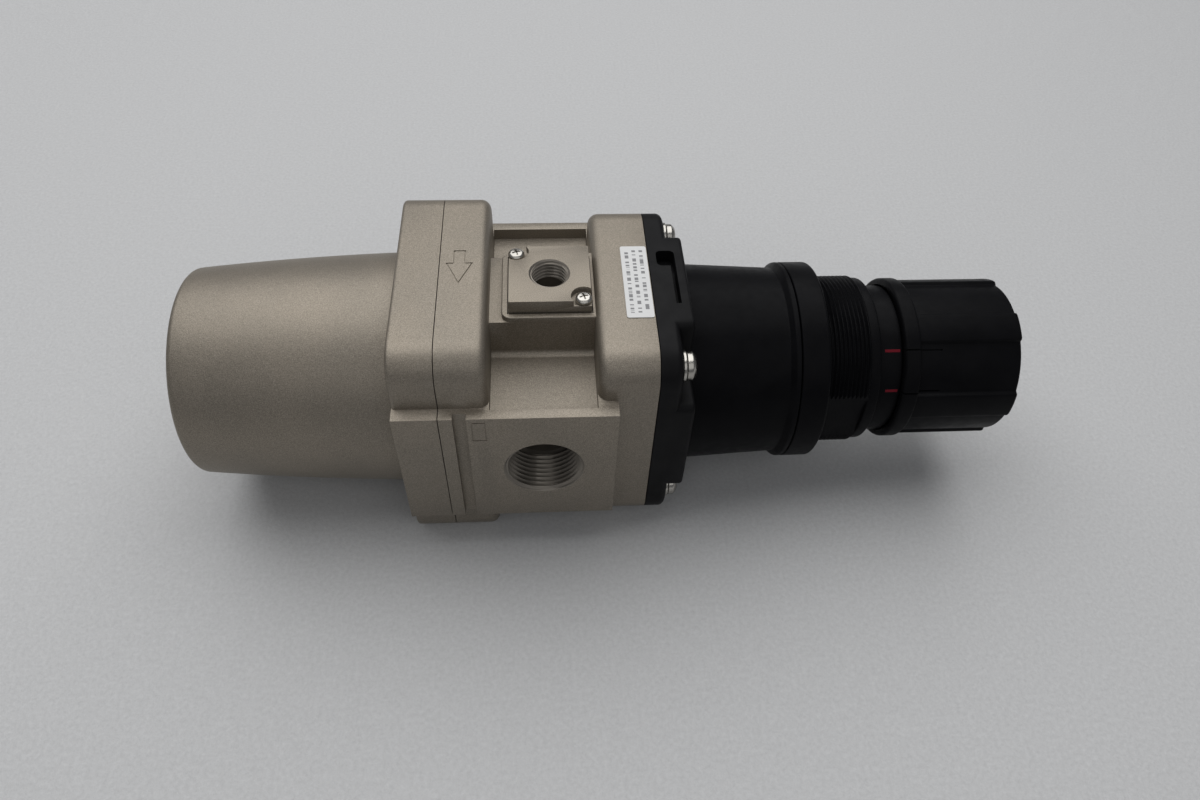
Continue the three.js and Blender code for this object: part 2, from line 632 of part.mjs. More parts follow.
function bonnet() {
  const [start, top] = [X_DIAPHRAGM + GAP / 2, FLANGE_HEIGHT / 2];
  const outline = roundedRectangle(FLANGE_DEPTH, FLANGE_HEIGHT, CORNER);
  const flange = common(prismX(outline, start - 3, X_FLANGE_END, 2.4), slice(start, X_FLANGE_END));
  const shell = join(flange, bonnetCross(), bonnetTurning());
  const flat = block(98.4, X_NECK_END, -20, 20, NECK_FLAT, NECK_FLAT + 10);
  const flats = around(2, flat.rotateX(Math.PI / 2));
  const notch = prismZ(roundedRectangle(6.4, 7.6, 1.8), top - 4.9, top + 1, 2).translate(43.2, 9.9, 0);
  const slot = block(44.6, 46.4, -12.3, 7.5, top - 4.5, top + 1);
  const screwHoles = atBonnetScrews(rod(36, 46, M5_HOLE, 10));
  return cut(shell, bonnetCavity(), ...screwHoles, ...flats, notch, slot);
}

function ringNut() {
  const [x0, x1, bore, edge] = [X_SHOULDER + 0.4, 97.8, NECK_R + 0.5, 0.9];
  return clean(revolve([
    [x0, bore + 0.4], [x0, SHOULDER_R - 0.4], [x0 + 0.4, SHOULDER_R], [x1 - edge, SHOULDER_R],
    [x1, SHOULDER_R - edge], [x1, bore + 0.6], [x1 - 0.6, bore], [x0 + 0.4, bore],
  ], ROUND));
}

function lockSleeve() {
  const [start, guide] = [X_COLLAR_END + GAP, SLEEVE_GUIDE_R];
  return clean(revolve([
    [start, 20.4], [start, SLEEVE_R], [X_SLEEVE_STEP, SLEEVE_R], [X_SLEEVE_STEP + 0.5, guide],
    [X_SLEEVE_END - 1, guide], [X_SLEEVE_END, guide - 1], [X_SLEEVE_END, 20.4],
  ]));
}

// Six raised ribs, parted by wide shallow valleys.
function knobGripOutline() {
  const [pitch, crest, flank] = [360 / KNOB_RIBS, KNOB_RIB_WIDTH / 2, 1.6];
  const shape = new THREE.Shape();
  for (let i = 0; i < KNOB_RIBS; i += 1) {
    const middle = KNOB_RIB_ANGLE + i * pitch;
    const arc = (radius, start, end) => shape.absarc(0, 0, radius, degrees(start), degrees(end));
    arc(KNOB_R, middle - crest, middle + crest);
    arc(KNOB_R - KNOB_VALLEY, middle + crest + flank, middle + pitch - crest - flank);
  }
  return shape;
}

// Round skirt and ribbed grip, hollow round the lock sleeve, with a hub that slides on the
// adjusting screw's hexagon.
function knob() {
  const [edge, hubStart, hubRadius, floor] = [0.8, 142, 9.2, 165];
  const [step, guideBore] = [X_SLEEVE_STEP + LOCK_TRAVEL + 0.8, SLEEVE_GUIDE_R + 0.5];
  const skirt = revolve([
    [X_KNOB, 0], [X_KNOB, SKIRT_R - edge], [X_KNOB + edge, SKIRT_R], [X_GRIP - edge, SKIRT_R],
    [X_GRIP, SKIRT_R - edge], [X_GRIP, 0],
  ], ROUND);
  const grip = prismX(knobGripOutline(), X_GRIP - 2, X_KNOB_END, 1.1, 2, 1);
  const hollow = revolve([
    [X_KNOB - 1, 0], [X_KNOB - 1, SLEEVE_R + 0.5], [step, SLEEVE_R + 0.5], [step, guideBore],
    [hubStart, guideBore], [hubStart, 24.4], [floor, 24.4], [floor, hubRadius], [hubStart, hubRadius],
    [hubStart, 0],
  ]);
  const hexHole = rod(hubStart - 1, floor - 0.5, 5.8, 6);
  const slit = block(X_KNOB - 1, hubStart, -0.4, 0.4, KNOB_R - 0.9, SKIRT_R + 1);
  return cut(join(skirt, grip), hollow, hexHole, slit.rotateX(degrees(KNOB_SLIT_ANGLE - 90)));
}

// ---- screws and small plates ----
function crossRecess(x, size) {
  const bar = new THREE.BoxGeometry(2, size, size * 0.24).translate(x, 0, 0);
  return [bar, bar.clone().rotateX(Math.PI / 2)];
}

// A screw along +X with its head towards +X; the head sits on x = 0.
function panScrew(headRadius, headHeight, shankRadius, length) {
  const profile = [
    [-length, 0], [-length, shankRadius], [0, shankRadius], [0, headRadius],
    [headHeight * 0.6, headRadius * 0.96], [headHeight, headRadius * 0.6], [headHeight, 0],
  ];
  return cut(revolve(profile, 10), ...crossRecess(headHeight, headRadius * 1.05));
}

// Socket-head screw with its head towards -X.
function capScrew() {
  const [length, headRadius, headHeight, edge] = [20, 4.3, 4.8, 0.4];
  const screw = revolve([
    [-length, 0], [-length, M5_SHANK], [0, M5_SHANK], [0, headRadius],
    [headHeight - edge, headRadius], [headHeight, headRadius - edge], [headHeight, 0],
  ], 10);
  return cut(screw, rod(headHeight / 2, headHeight + 1, 2.3, 6)).rotateY(Math.PI);
}

const bonnetScrew = () => panScrew(4.8, 3.7, M5_SHANK, 22.4);
const bonnetWasher = () => clean(ring(0, WASHER_THICKNESS, M5_HOLE, 5.3, SMALL));

function gaugePlate(isPort) {
  const [half, top] = [GAUGE_PLATE / 2, GAUGE_PLATE_TOP];
  const [below, above] = [GAUGE_PLATE_FOOT - 1, top + 1];
  const blank = block(GAUGE_X - half, GAUGE_X + half, -half, half, GAUGE_PLATE_FOOT, top);
  const tools = [];
  if (isPort) {
    const mouth = [
      [below, 0], [below, 6.35], [top - 0.6, GAUGE_MOUTH_R - 0.4], [top, GAUGE_MOUTH_R],
      [above, GAUGE_MOUTH_R], [above, 0],
    ];
    tools.push(alongZ(revolve(mouth, FINE)).translate(GAUGE_X, 0, 0));
  }
  for (const [x, y] of gaugeScrewPlaces()) {
    tools.push(alongZ(rod(below, above, 1.9, 8)).translate(x, y, 0));
    tools.push(alongZ(rod(GAUGE_SEAT_Z, above, 4.2, SMALL)).translate(x, y, 0));
  }
  return cut(blank, ...tools);
}

function gaugeSeal() {
  return clean(alongZ(torus(GAUGE_PLATE_FOOT - 1.15, 9.2, 0.75, 20, 4)).translate(GAUGE_X, 0, 0));
}

const gaugeScrew = () => alongZ(panScrew(2.7, 2, 1.45, 11)).translate(0, 0, GAUGE_SEAT_Z + GAP);

function label() {
  const top = FLANGE_HEIGHT / 2;
  return prismZ(roundedRectangle(9, 34.8, 0.8), top + 0.06, top + 0.26, 2).translate(32.3, -1.5, 0);
}

// ---- materials ----
function surface(color, roughness, metalness) {
  return new THREE.MeshStandardMaterial({ color, roughness, metalness });
}

const paint = surface(0xa8a195, 0.45, 0.6);
const blackPlastic = surface(0x1c1c1f, 0.5, 0);
const nickel = surface(0xc9c9c6, 0.25, 1);
const steel = surface(0x9a9c9e, 0.35, 1);
const brass = surface(0xb89b5a, 0.35, 1);
const rubber = surface(0x151515, 0.8, 0);
const filterMedia = surface(0xe6e3d8, 0.9, 0);
const greyPlastic = surface(0x6a6c6e, 0.6, 0);
const paper = surface(0xeeeeec, 0.7, 0);

// ---- assembly ----
const assembly = new THREE.Group();

function add(name, geometry, material) {
  const mesh = new THREE.Mesh(geometry, material);
  mesh.name = name;
  assembly.add(mesh);
  return mesh;
}

add("body", body(), paint);
add("housing", housing(), paint);
add("housing_o_ring", clean(torus(-31.8, 40.5, 1.1)), rubber);
add("bowl", bowl(), paint);
add("bowl_o_ring", clean(torus(-42.2, 36.1, 1.1)), rubber);
add("drain_gasket", drainGasket(), rubber);
add("drain_body", drainBody(), brass);
add("drain_nut", drainNut(), nickel);
add("drain_cock", drainCock(), blackPlastic);

add("deflector", deflector(), greyPlastic);
add("filter_element", filterElement(), filterMedia);
add("baffle", baffle(), greyPlastic);
add("element_bolt", elementBolt(), brass);

add("valve_guide", valveGuide(), greyPlastic);
add("valve_spring", valveSpring(), steel);
add("valve_poppet", valvePoppet(), brass);
add("valve_rubber", valveRubber(), rubber);
add("valve_o_ring", valveORing(), rubber);
add("valve_stem", valveStem(), brass);
add("stem_o_ring", stemORing(), rubber);

add("diaphragm", diaphragm(), rubber);
add("diaphragm_hub", diaphragmHub(), brass);
add("spring_plate", springPlate(), steel);
add("diaphragm_nut", diaphragmNut(), steel);
add("adjusting_spring", adjustingSpring(), steel);
add("spring_nut", springNut(), brass);
add("adjusting_screw", adjustingScrew(), steel);
add("screw_bush", screwBush(), brass);
add("thrust_washer", thrustWasher(), steel);
add("snap_ring", snapRing(), steel);

add("bonnet", bonnet(), blackPlastic);
add("ring_nut", ringNut(), blackPlastic);
add("lock_sleeve", lockSleeve(), blackPlastic);
add("knob", knob(), blackPlastic);

FOUR_CORNERS.forEach(([y, z], i) => {
  const washer = add(`bonnet_washer_${i + 1}`, bonnetWasher(), nickel);
  washer.position.set(X_FLANGE_END + GAP, y * BONNET_SCREW_Y, z * BONNET_SCREW_Z);
  const screw = add(`bonnet_screw_${i + 1}`, bonnetScrew(), nickel);
  screw.position.copy(washer.position);
  screw.position.x += WASHER_THICKNESS + GAP;
  const cap = add(`housing_screw_${i + 1}`, capScrew(), steel);
  cap.position.set(HOUSING_SCREW_SEAT - GAP, y * HOUSING_SCREW_Y, z * HOUSING_SCREW_Z);
});

// The gauge plate lies on the +Z pad, and its blank twin closes the pad on the -Z side.
for (const [prefix, side] of [["gauge", 1], ["blank", -1]]) {
  const pad = new THREE.Group();
  pad.rotation.x = side > 0 ? 0 : Math.PI;
  assembly.add(pad);
  pad.add(add(`${prefix}_plate`, gaugePlate(side > 0), paint));
  pad.add(add(`${prefix}_seal`, gaugeSeal(), rubber));
  gaugeScrewPlaces().forEach(([x, y], i) => {
    const screw = add(`${prefix}_screw_${i + 1}`, gaugeScrew(), nickel);
    screw.position.set(x, y, 0);
    pad.add(screw);
  });
}
add("label", label(), paper);

assembly.position.set(-(X_DRAIN_END + X_KNOB_END) / 2, 0, BLOCK_HEIGHT / 2);

export default assembly;
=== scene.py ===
"""Looks of the air filter regulator: detailed shells over the CAD frame, materials and studio."""

import json
import math

import bmesh
import bpy
from mathutils import Matrix, Vector


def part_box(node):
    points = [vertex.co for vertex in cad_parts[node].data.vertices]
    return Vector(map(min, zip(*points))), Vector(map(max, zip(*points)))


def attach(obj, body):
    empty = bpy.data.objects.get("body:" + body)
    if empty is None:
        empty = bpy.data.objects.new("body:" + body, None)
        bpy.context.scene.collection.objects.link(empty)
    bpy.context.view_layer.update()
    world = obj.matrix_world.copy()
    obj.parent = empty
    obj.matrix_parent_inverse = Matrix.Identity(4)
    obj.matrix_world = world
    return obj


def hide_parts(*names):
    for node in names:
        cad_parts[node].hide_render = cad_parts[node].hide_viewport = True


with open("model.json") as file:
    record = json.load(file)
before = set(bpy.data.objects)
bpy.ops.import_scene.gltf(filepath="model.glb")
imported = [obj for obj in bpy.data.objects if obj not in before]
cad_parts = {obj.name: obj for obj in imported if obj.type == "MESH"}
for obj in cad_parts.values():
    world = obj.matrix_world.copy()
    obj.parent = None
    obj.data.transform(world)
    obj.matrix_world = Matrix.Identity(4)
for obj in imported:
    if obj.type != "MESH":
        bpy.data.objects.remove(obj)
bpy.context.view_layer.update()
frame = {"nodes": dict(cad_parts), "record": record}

MM = 0.001
# Segments of the turned pieces, from the large ones to the small ones
SMOOTH = 128
FINE = 96
ROUND = 64
MEDIUM = 48
SHARP_ANGLE = math.radians(32)


# ---- places, in millimetres round the point where the main axis meets the port axis ----
def crossing():
    """The crossing of main axis and port axis in the row frame."""
    bowl_low, bowl_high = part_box("bowl")
    plate_low, plate_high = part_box("gauge_plate")
    gauge_beside_port = 3.1 * MM
    return Vector(((plate_low.x + plate_high.x) / 2 - gauge_beside_port, 0, (bowl_low.z + bowl_high.z) / 2))


CROSSING = crossing()


def span(node):
    """Lowest and highest corner of a CAD node, in millimetres from the crossing."""
    return [(corner - CROSSING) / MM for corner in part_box(node)]


def centre(node):
    low, high = span(node)
    return (low + high) / 2


BODY_LOW, BODY_HIGH = span("body")
HOUSING_LOW, HOUSING_HIGH = span("housing")
BOWL_LOW, BOWL_HIGH = span("bowl")
BONNET_LOW, BONNET_HIGH = span("bonnet")
NUT_LOW, NUT_HIGH = span("ring_nut")
SLEEVE_LOW, SLEEVE_HIGH = span("lock_sleeve")
KNOB_LOW, KNOB_HIGH = span("knob")
PLATE_LOW, PLATE_HIGH = span("gauge_plate")

FACE = BODY_HIGH.y  # port faces
BLOCK_HALF = (43, BODY_HIGH.z)  # half depth and half height of the block and the housing
FLANGE_HALF = (BONNET_HIGH.y, BONNET_HIGH.z)
CORNER = 11  # radius of the corners of block and flange
LEDGE = 27.3  # half height of the port plates
INNER_FACE = 43.8  # depth of the waist between the port plates
NECK_RADIUS = 30.9  # crest of the panel thread
COLLAR_RADIUS = 30.1
COLLAR_X = (113.8, SLEEVE_LOW.x - 0.3)  # plain collar between panel thread and lock sleeve
WAIST = 22.8  # half height of the body between its flanges
WAIST_X = (-17, 17.7)
PLATE_X = (-24.2, 24.2)
GAUGE_X = centre("gauge_plate").x
GAUGE_SCREWS = [centre(f"gauge_screw_{i}").xy for i in (1, 2)]
BONNET_SCREW = centre("bonnet_washer_1").yz
HOUSING_SCREW = centre("housing_screw_1").yz
FOUR_CORNERS = ((1, 1), (-1, 1), (-1, -1), (1, -1))
SCREW_HOLE = 2.9  # radius of the clearance holes for the long screws


# ---- outlines ----
def rounded(points, steps=6):
    """The outline with an arc in place of each corner that gives a radius as its third value."""
    outline = []
    for i, point in enumerate(points):
        corner = Vector(point[:2])
        if len(point) == 2:
            outline.append(corner)
            continue
        before = (Vector(points[i - 1][:2]) - corner).normalized()
        after = (Vector(points[(i + 1) % len(points)][:2]) - corner).normalized()
        half = before.angle(after) / 2
        centre = corner + (before + after).normalized() * (point[2] / math.sin(half))
        reach = point[2] / math.tan(half)
        start = corner + before * reach - centre
        end = corner + after * reach - centre
        turn = start.angle(end)
        for k in range(steps + 1):
            share = k / steps
            spoke = start * math.sin((1 - share) * turn) + end * math.sin(share * turn)
            outline.append(centre + spoke / math.sin(turn))
    return outline


def rectangle(y0, y1, z0, z1, radius=0.0, steps=10):
    corners = [(y0, z0), (y1, z0), (y1, z1), (y0, z1)]
    if radius:
        corners = [(y, z, radius) for y, z in corners]
    return rounded(corners, steps)


def cornered(half_size):
    """The rounded outline of the body's block or of the bonnet's flange."""
    y_half, z_half = half_size
    return rectangle(-y_half, y_half, -z_half, z_half, CORNER, 12)


# ---- meshes ----
def turned(profile, segments=SMOOTH):
    """Bmesh of a closed (x, radius) profile turned about the main axis."""
    mesh = bmesh.new()
    rings = []
    for x, radius in profile:
        if radius < 1e-6:
            rings.append([mesh.verts.new((x, 0, 0))])
            continue
        angles = [2 * math.pi * i / segments for i in range(segments)]
        rings.append([mesh.verts.new((x, radius * math.cos(a), radius * math.sin(a))) for a in angles])
    for ring, following in zip(rings, rings[1:] + rings[:1]):
        for i in range(segments):
            j = (i + 1) % segments
            corners = [ring[i % len(ring)], ring[j % len(ring)]]
            corners += [following[j % len(following)], following[i % len(following)]]
            unique = list(dict.fromkeys(corners))
            if len(unique) > 2:
                mesh.faces.new(unique)
    bmesh.ops.recalc_face_normals(mesh, faces=mesh.faces)
    return mesh


def tube(x0, x1, inner, outer, segments=SMOOTH, edge=0.0):
    if edge:
        return turned(rounded([(x0, inner), (x0, outer, edge), (x1, outer, edge), (x1, inner)], 3), segments)
    return turned([(x0, inner), (x0, outer), (x1, outer), (x1, inner)], segments)


def bar(x0, x1, radius, segments=MEDIUM):
    return turned([(x0, 0), (x0, radius), (x1, radius), (x1, 0)], segments)


def prism(outline, x0, x1, start_edge=0.0, end_edge=0.0, steps=5):
    """Bmesh of a (y, z) outline extruded along X, its two end edges rounded by the given radii."""
    mesh = bmesh.new()
    first = [mesh.verts.new((x0, y, z)) for y, z in outline]
    last = [mesh.verts.new((x1, y, z)) for y, z in outline]
    mesh.faces.new(first)
    mesh.faces.new(last[::-1])
    for i in range(len(outline)):
        j = (i + 1) % len(outline)
        mesh.faces.new((first[j], first[i], last[i], last[j]))
    bmesh.ops.recalc_face_normals(mesh, faces=mesh.faces)
    for ring, radius in ((first, start_edge), (last, end_edge)):
        if radius:
            members = set(ring)
            rim = [e for e in mesh.edges if e.verts[0] in members and e.verts[1] in members]
            bmesh.ops.bevel(mesh, geom=rim, offset=radius, segments=steps, profile=0.5, affect="EDGES")
    return mesh


def block(x0, x1, y0, y1, z0, z1, edge=0.0):
    mesh = prism([(y0, z0), (y1, z0), (y1, z1), (y0, z1)], x0, x1)
    if edge:
        bmesh.ops.bevel(mesh, geom=mesh.edges[:], offset=edge, segments=3, profile=0.5, affect="EDGES")
    return mesh


def threaded_bar(x0, x1, radius, pitch, depth, taper=0.0, segments=72):
    """Bmesh of a bar with a helical thread, its crests on the radius, narrowing from x1 towards x0."""
    rows_per_pitch = 6
    wave = (0, 0.5, 1, 1, 0.5, 0)
    rows = round((x1 - x0) / pitch * rows_per_pitch)
    mesh = bmesh.new()
    rings = []
    for row in range(rows + 1):
        x = x0 + (x1 - x0) * row / rows
        ring = []
        for i in range(segments):
            turn = i / segments
            place = (row / rows_per_pitch + turn) % 1 * rows_per_pitch
            low, share = int(place) % rows_per_pitch, place % 1
            groove = wave[low] * (1 - share) + wave[(low + 1) % rows_per_pitch] * share
            reach = radius - taper * (x1 - x) - depth * groove
            angle = 2 * math.pi * turn
            ring.append(mesh.verts.new((x, reach * math.cos(angle), reach * math.sin(angle))))
        rings.append(ring)
    for ring, following in zip(rings, rings[1:]):
        for i in range(segments):
            j = (i + 1) % segments
            mesh.faces.new((ring[j], ring[i], following[i], following[j]))
    mesh.faces.new(rings[0])
    mesh.faces.new(rings[-1][::-1])
    bmesh.ops.recalc_face_normals(mesh, faces=mesh.faces)
    return mesh


TO_Y = Matrix.Rotation(math.pi / 2, 4, "Z")
TO_MINUS_Y = Matrix.Rotation(-math.pi / 2, 4, "Z")
TO_Z = Matrix.Rotation(-math.pi / 2, 4, "Y")
UNDERSIDE = Matrix.Rotation(math.pi, 4, "X")


def upright_prism(outline, z0, z1, end_edge=0.0):
    """Bmesh of an (x, y) outline extruded along Z."""
    return moved(prism([(y, -x) for x, y in outline], z0, z1, 0, end_edge, 3), TO_Z)


def moved(mesh, *steps):
    """The bmesh moved by each matrix or (x, y, z) step in turn."""
    for step in steps:
        matrix = step if isinstance(step, Matrix) else Matrix.Translation(step)
        bmesh.ops.transform(mesh, matrix=matrix, verts=mesh.verts)
    return mesh


# ---- objects ----
def scratch(mesh, material=None):
    """A temporary object in millimetres for the boolean steps."""
    data = bpy.data.meshes.new("scratch")
    mesh.to_mesh(data)
    mesh.free()
    if material:
        data.materials.append(material)
    made = bpy.data.objects.new("scratch", data)
    bpy.context.scene.collection.objects.link(made)
    return made


def boolean(target, tools, operation):
    """The target joined with the tools, or cut by them. Cut faces keep the tool's material."""
    folder = bpy.data.collections.new("tools")
    for tool in tools:
        folder.objects.link(tool)
    modifier = target.modifiers.new("boolean", "BOOLEAN")
    modifier.operand_type = "COLLECTION"
    modifier.collection = folder
    modifier.operation = operation
    modifier.solver = "EXACT"
    modifier.material_mode = "TRANSFER"
    bake(target)
    for tool in tools:
        bpy.data.objects.remove(tool)
    bpy.data.collections.remove(folder)
    return target


def bake(target):
    """Applies the object's modifiers."""
    dependencies = bpy.context.evaluated_depsgraph_get()
    data = bpy.data.meshes.new_from_object(target.evaluated_get(dependencies))
    target.modifiers.clear()
    target.data = data


def soften_edges(target, width, sharp_x=None):
    """Rounds the sharp edges of a finished shape, apart from those in the plane x = sharp_x."""
    mesh = bmesh.new()
    mesh.from_mesh(target.data)
    bmesh.ops.remove_doubles(mesh, verts=mesh.verts, dist=1e-3)
    bmesh.ops.dissolve_degenerate(mesh, edges=mesh.edges, dist=1e-4)
    edges = []
    for edge in mesh.edges:
        in_plane = sharp_x is not None and all(abs(v.co.x - sharp_x) < 1e-3 for v in edge.verts)
        if edge.is_manifold and edge.calc_face_angle() > SHARP_ANGLE and not in_plane:
            edges.append(edge)
    bmesh.ops.bevel(
        mesh, geom=edges, offset=width, segments=2, profile=0.5, affect="EDGES", clamp_overlap=True,
        miter_outer="ARC",
    )
    mesh.to_mesh(target.data)
    mesh.free()
    return target


def finish_piece(target, name, body, replaced):
    target.data.transform(Matrix.Translation(CROSSING) @ Matrix.Scale(MM, 4))
    target.data.name = name
    target.name = name
    for polygon in target.data.polygons:
        polygon.use_smooth = True
    target.data.set_sharp_from_angle(angle=SHARP_ANGLE)
    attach(target, body)
    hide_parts(*replaced)
    return target


def merged(objects):
    """Several scratch objects as one, their materials kept."""
    first = objects[0]
    whole = bmesh.new()
    materials = []
    for item in objects:
        places = []
        for material in item.data.materials:
            if material not in materials:
                materials.append(material)
            places.append(materials.index(material))
        part = bmesh.new()
        part.from_mesh(item.data)
        for face in part.faces:
            face.material_index = places[min(face.material_index, len(places) - 1)] if places else 0
        data = bpy.data.meshes.new("part")
        part.to_mesh(data)
        part.free()
        whole.from_mesh(data)
        bpy.data.meshes.remove(data)
    data = bpy.data.meshes.new("merged")
    whole.to_mesh(data)
    whole.free()
    for material in materials:
        data.materials.append(material)
    first.data = data
    for item in objects[1:]:
        bpy.data.objects.remove(item)
    return first


# ---- materials ----
def new_material(name, **values):
    """A Principled material with its even values set on the shader's own sockets."""
    material = bpy.data.materials.new(name)
    material.use_nodes = True
    shader = material.node_tree.nodes["Principled BSDF"]
    for key, value in values.items():
        shader.inputs[key.replace("_", " ")].default_value = value
    return material, material.node_tree, shader


def noise(tree, size_mm, detail=2.0, roughness=0.5):
    """A noise texture whose grains are about the given size."""
    coordinates = tree.nodes.new("ShaderNodeTexCoord")
    texture = tree.nodes.new("ShaderNodeTexNoise")
    texture.inputs["Scale"].default_value = 1 / (size_mm * MM)
    texture.inputs["Detail"].default_value = detail
    texture.inputs["Roughness"].default_value = roughness
    tree.links.new(coordinates.outputs["Object"], texture.inputs["Vector"])
    return texture.outputs["Fac"]


def ramp(tree, value, stops):
    """A colour ramp of (place, colour) stops fed by a value."""
    node = tree.nodes.new("ShaderNodeValToRGB")
    elements = node.color_ramp.elements
    while len(elements) < len(stops):
        elements.new(0.5)
    for element, (place, colour) in zip(elements, stops):
        element.position = place
        element.color = (*colour, 1)
    tree.links.new(value, node.inputs["Fac"])
    return node.outputs["Color"]


def mapped(tree, value, low, high):
    """The value's middle range spread over low to high."""
    node = tree.nodes.new("ShaderNodeMapRange")
    node.inputs["From Min"].default_value = 0.3
    node.inputs["From Max"].default_value = 0.7
    node.inputs["To Min"].default_value = low
    node.inputs["To Max"].default_value = high
    tree.links.new(value, node.inputs["Value"])
    return node.outputs["Result"]


def bump(tree, shader, height, depth_mm, below=None):
    """Relief of the given depth on the shader, laid over the relief below it, if any."""
    node = tree.nodes.new("ShaderNodeBump")
    node.inputs["Distance"].default_value = depth_mm * MM
    tree.links.new(height, node.inputs["Height"])
    if below:
        tree.links.new(below, node.inputs["Normal"])
    if shader:
        tree.links.new(node.outputs["Normal"], shader.inputs["Normal"])
    return node.outputs["Normal"]


def shaded(name, dark, light, grain_mm, bump_mm, rough, **values):
    """A surface whose colour and gloss vary slowly, with a fine grain in its relief."""
    material, tree, shader = new_material(name, **values)
    patches = noise(tree, grain_mm * 40, 4)
    tree.links.new(ramp(tree, patches, ((0.3, dark), (0.7, light))), shader.inputs["Base Color"])
    tree.links.new(mapped(tree, noise(tree, grain_mm * 12, 3), *rough), shader.inputs["Roughness"])
    bump(tree, shader, noise(tree, grain_mm, 2), bump_mm)
    return material


def champagne_paint():
    """Stippled metallic powder coat: flakes in the colour, orange peel and grain in the relief."""
    material, tree, shader = new_material("champagne_paint", Metallic=0.78, Specular_IOR_Level=0.35)
    flakes = noise(tree, 0.3, 3, 0.75)
    patches = noise(tree, 22, 4)
    base = ramp(tree, flakes, (
        (0.32, (0.175, 0.154, 0.124)), (0.5, (0.268, 0.238, 0.196)), (0.68, (0.39, 0.352, 0.3)),
    ))
    tone = ramp(tree, patches, ((0.3, (0.9, 0.9, 0.9)), (0.7, (1.0, 0.99, 0.98))))
    mix = tree.nodes.new("ShaderNodeMix")
    mix.data_type = "RGBA"
    mix.blend_type = "MULTIPLY"
    mix.inputs["Factor"].default_value = 1
    tree.links.new(base, mix.inputs["A"])
    tree.links.new(tone, mix.inputs["B"])
    tree.links.new(mix.outputs["Result"], shader.inputs["Base Color"])
    tree.links.new(mapped(tree, flakes, 0.42, 0.56), shader.inputs["Roughness"])
    peel = bump(tree, None, noise(tree, 1.8, 2), 0.06)
    bump(tree, shader, noise(tree, 0.5, 3, 0.7), 0.05, below=peel)
    return material


def printed_paper():
    """Pale sticker with three rows of short dark dashes in place of print."""
    material, tree, shader = new_material("paper_label")
    coordinates = tree.nodes.new("ShaderNodeTexCoord")
    place = tree.nodes.new("ShaderNodeSeparateXYZ")
    tree.links.new(coordinates.outputs["Object"], place.inputs["Vector"])
    low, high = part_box("label")
    row_pitch = (high.x - low.x) / 3.6

    def math_node(operation, first, second):
        node = tree.nodes.new("ShaderNodeMath")
        node.operation = operation
        for socket, value in zip(node.inputs, (first, second)):
            if isinstance(value, float):
                socket.default_value = value
            else:
                tree.links.new(value, socket)
        return node.outputs["Value"]

    from_first_row = math_node("SUBTRACT", place.outputs["X"], low.x + 0.55 * row_pitch)
    rows = math_node("DIVIDE", from_first_row, row_pitch)
    in_row = math_node("LESS_THAN", math_node("FRACT", rows, 0.0), 0.5)
    stretched = tree.nodes.new("ShaderNodeCombineXYZ")
    tree.links.new(math_node("FLOOR", rows, 0.0), stretched.inputs["X"])
    tree.links.new(math_node("DIVIDE", place.outputs["Y"], 1.6 * MM), stretched.inputs["Y"])
    dashes = tree.nodes.new("ShaderNodeTexNoise")
    dashes.inputs["Scale"].default_value = 1
    dashes.inputs["Detail"].default_value = 1
    tree.links.new(stretched.outputs["Vector"], dashes.inputs["Vector"])
    printed = math_node("MULTIPLY", in_row, math_node("GREATER_THAN", dashes.outputs["Fac"], 0.5))
    from_middle = math_node("ABSOLUTE", math_node("SUBTRACT", place.outputs["Y"], (low.y + high.y) / 2), 0.0)
    in_length = math_node("LESS_THAN", from_middle, (high.y - low.y) * 0.44)
    before_last_end = math_node("LESS_THAN", rows, 3.0)
    past_first_start = math_node("GREATER_THAN", rows, 0.0)
    inside = math_node("MULTIPLY", in_length, math_node("MULTIPLY", before_last_end, past_first_start))
    ink = math_node("MULTIPLY", printed, inside)
    tree.links.new(
        ramp(tree, ink, ((0.0, (0.66, 0.66, 0.655)), (1.0, (0.2, 0.2, 0.205)))), shader.inputs["Base Color"],
    )
    tree.links.new(mapped(tree, noise(tree, 3, 3), 0.42, 0.58), shader.inputs["Roughness"])
    return material


PAINT = champagne_paint()
BARE_ALLOY = shaded(
    "bare_alloy", (0.2, 0.18, 0.155), (0.27, 0.245, 0.21), 0.3, 0.01, (0.42, 0.56), Metallic=0.75,
)
BLACK = shaded(
    "black_plastic", (0.003, 0.003, 0.0036), (0.0048, 0.0048, 0.0056), 0.25, 0.012, (0.34, 0.46),
    Specular_IOR_Level=0.045,
)
BLACK_CAST = shaded(
    "black_flange", (0.004, 0.004, 0.0045), (0.0065, 0.0065, 0.0072), 0.5, 0.03, (0.42, 0.54),
    Specular_IOR_Level=0.1,
)
NICKEL = shaded("nickel", (0.4, 0.385, 0.355), (0.52, 0.5, 0.46), 0.5, 0.003, (0.16, 0.28), Metallic=1.0)
STEEL = shaded("zinc_steel", (0.4, 0.41, 0.42), (0.55, 0.56, 0.57), 0.3, 0.006, (0.28, 0.4), Metallic=1.0)
BRASS = shaded("brass", (0.5, 0.36, 0.13), (0.66, 0.5, 0.22), 0.3, 0.006, (0.26, 0.4), Metallic=1.0)
RUBBER = shaded("nitrile", (0.012, 0.012, 0.012), (0.022, 0.022, 0.022), 0.3, 0.02, (0.6, 0.75))
MOULDED = shaded("grey_plastic", (0.13, 0.135, 0.14), (0.18, 0.185, 0.19), 0.3, 0.01, (0.45, 0.6))
MEDIA = shaded("filter_media", (0.62, 0.6, 0.53), (0.78, 0.76, 0.69), 0.35, 0.16, (0.85, 0.95))
PAPER = printed_paper()
MARK = shaded(
    "mark_paint", (0.11, 0.006, 0.012), (0.15, 0.01, 0.018), 0.3, 0.01, (0.55, 0.7), Specular_IOR_Level=0.08,
)

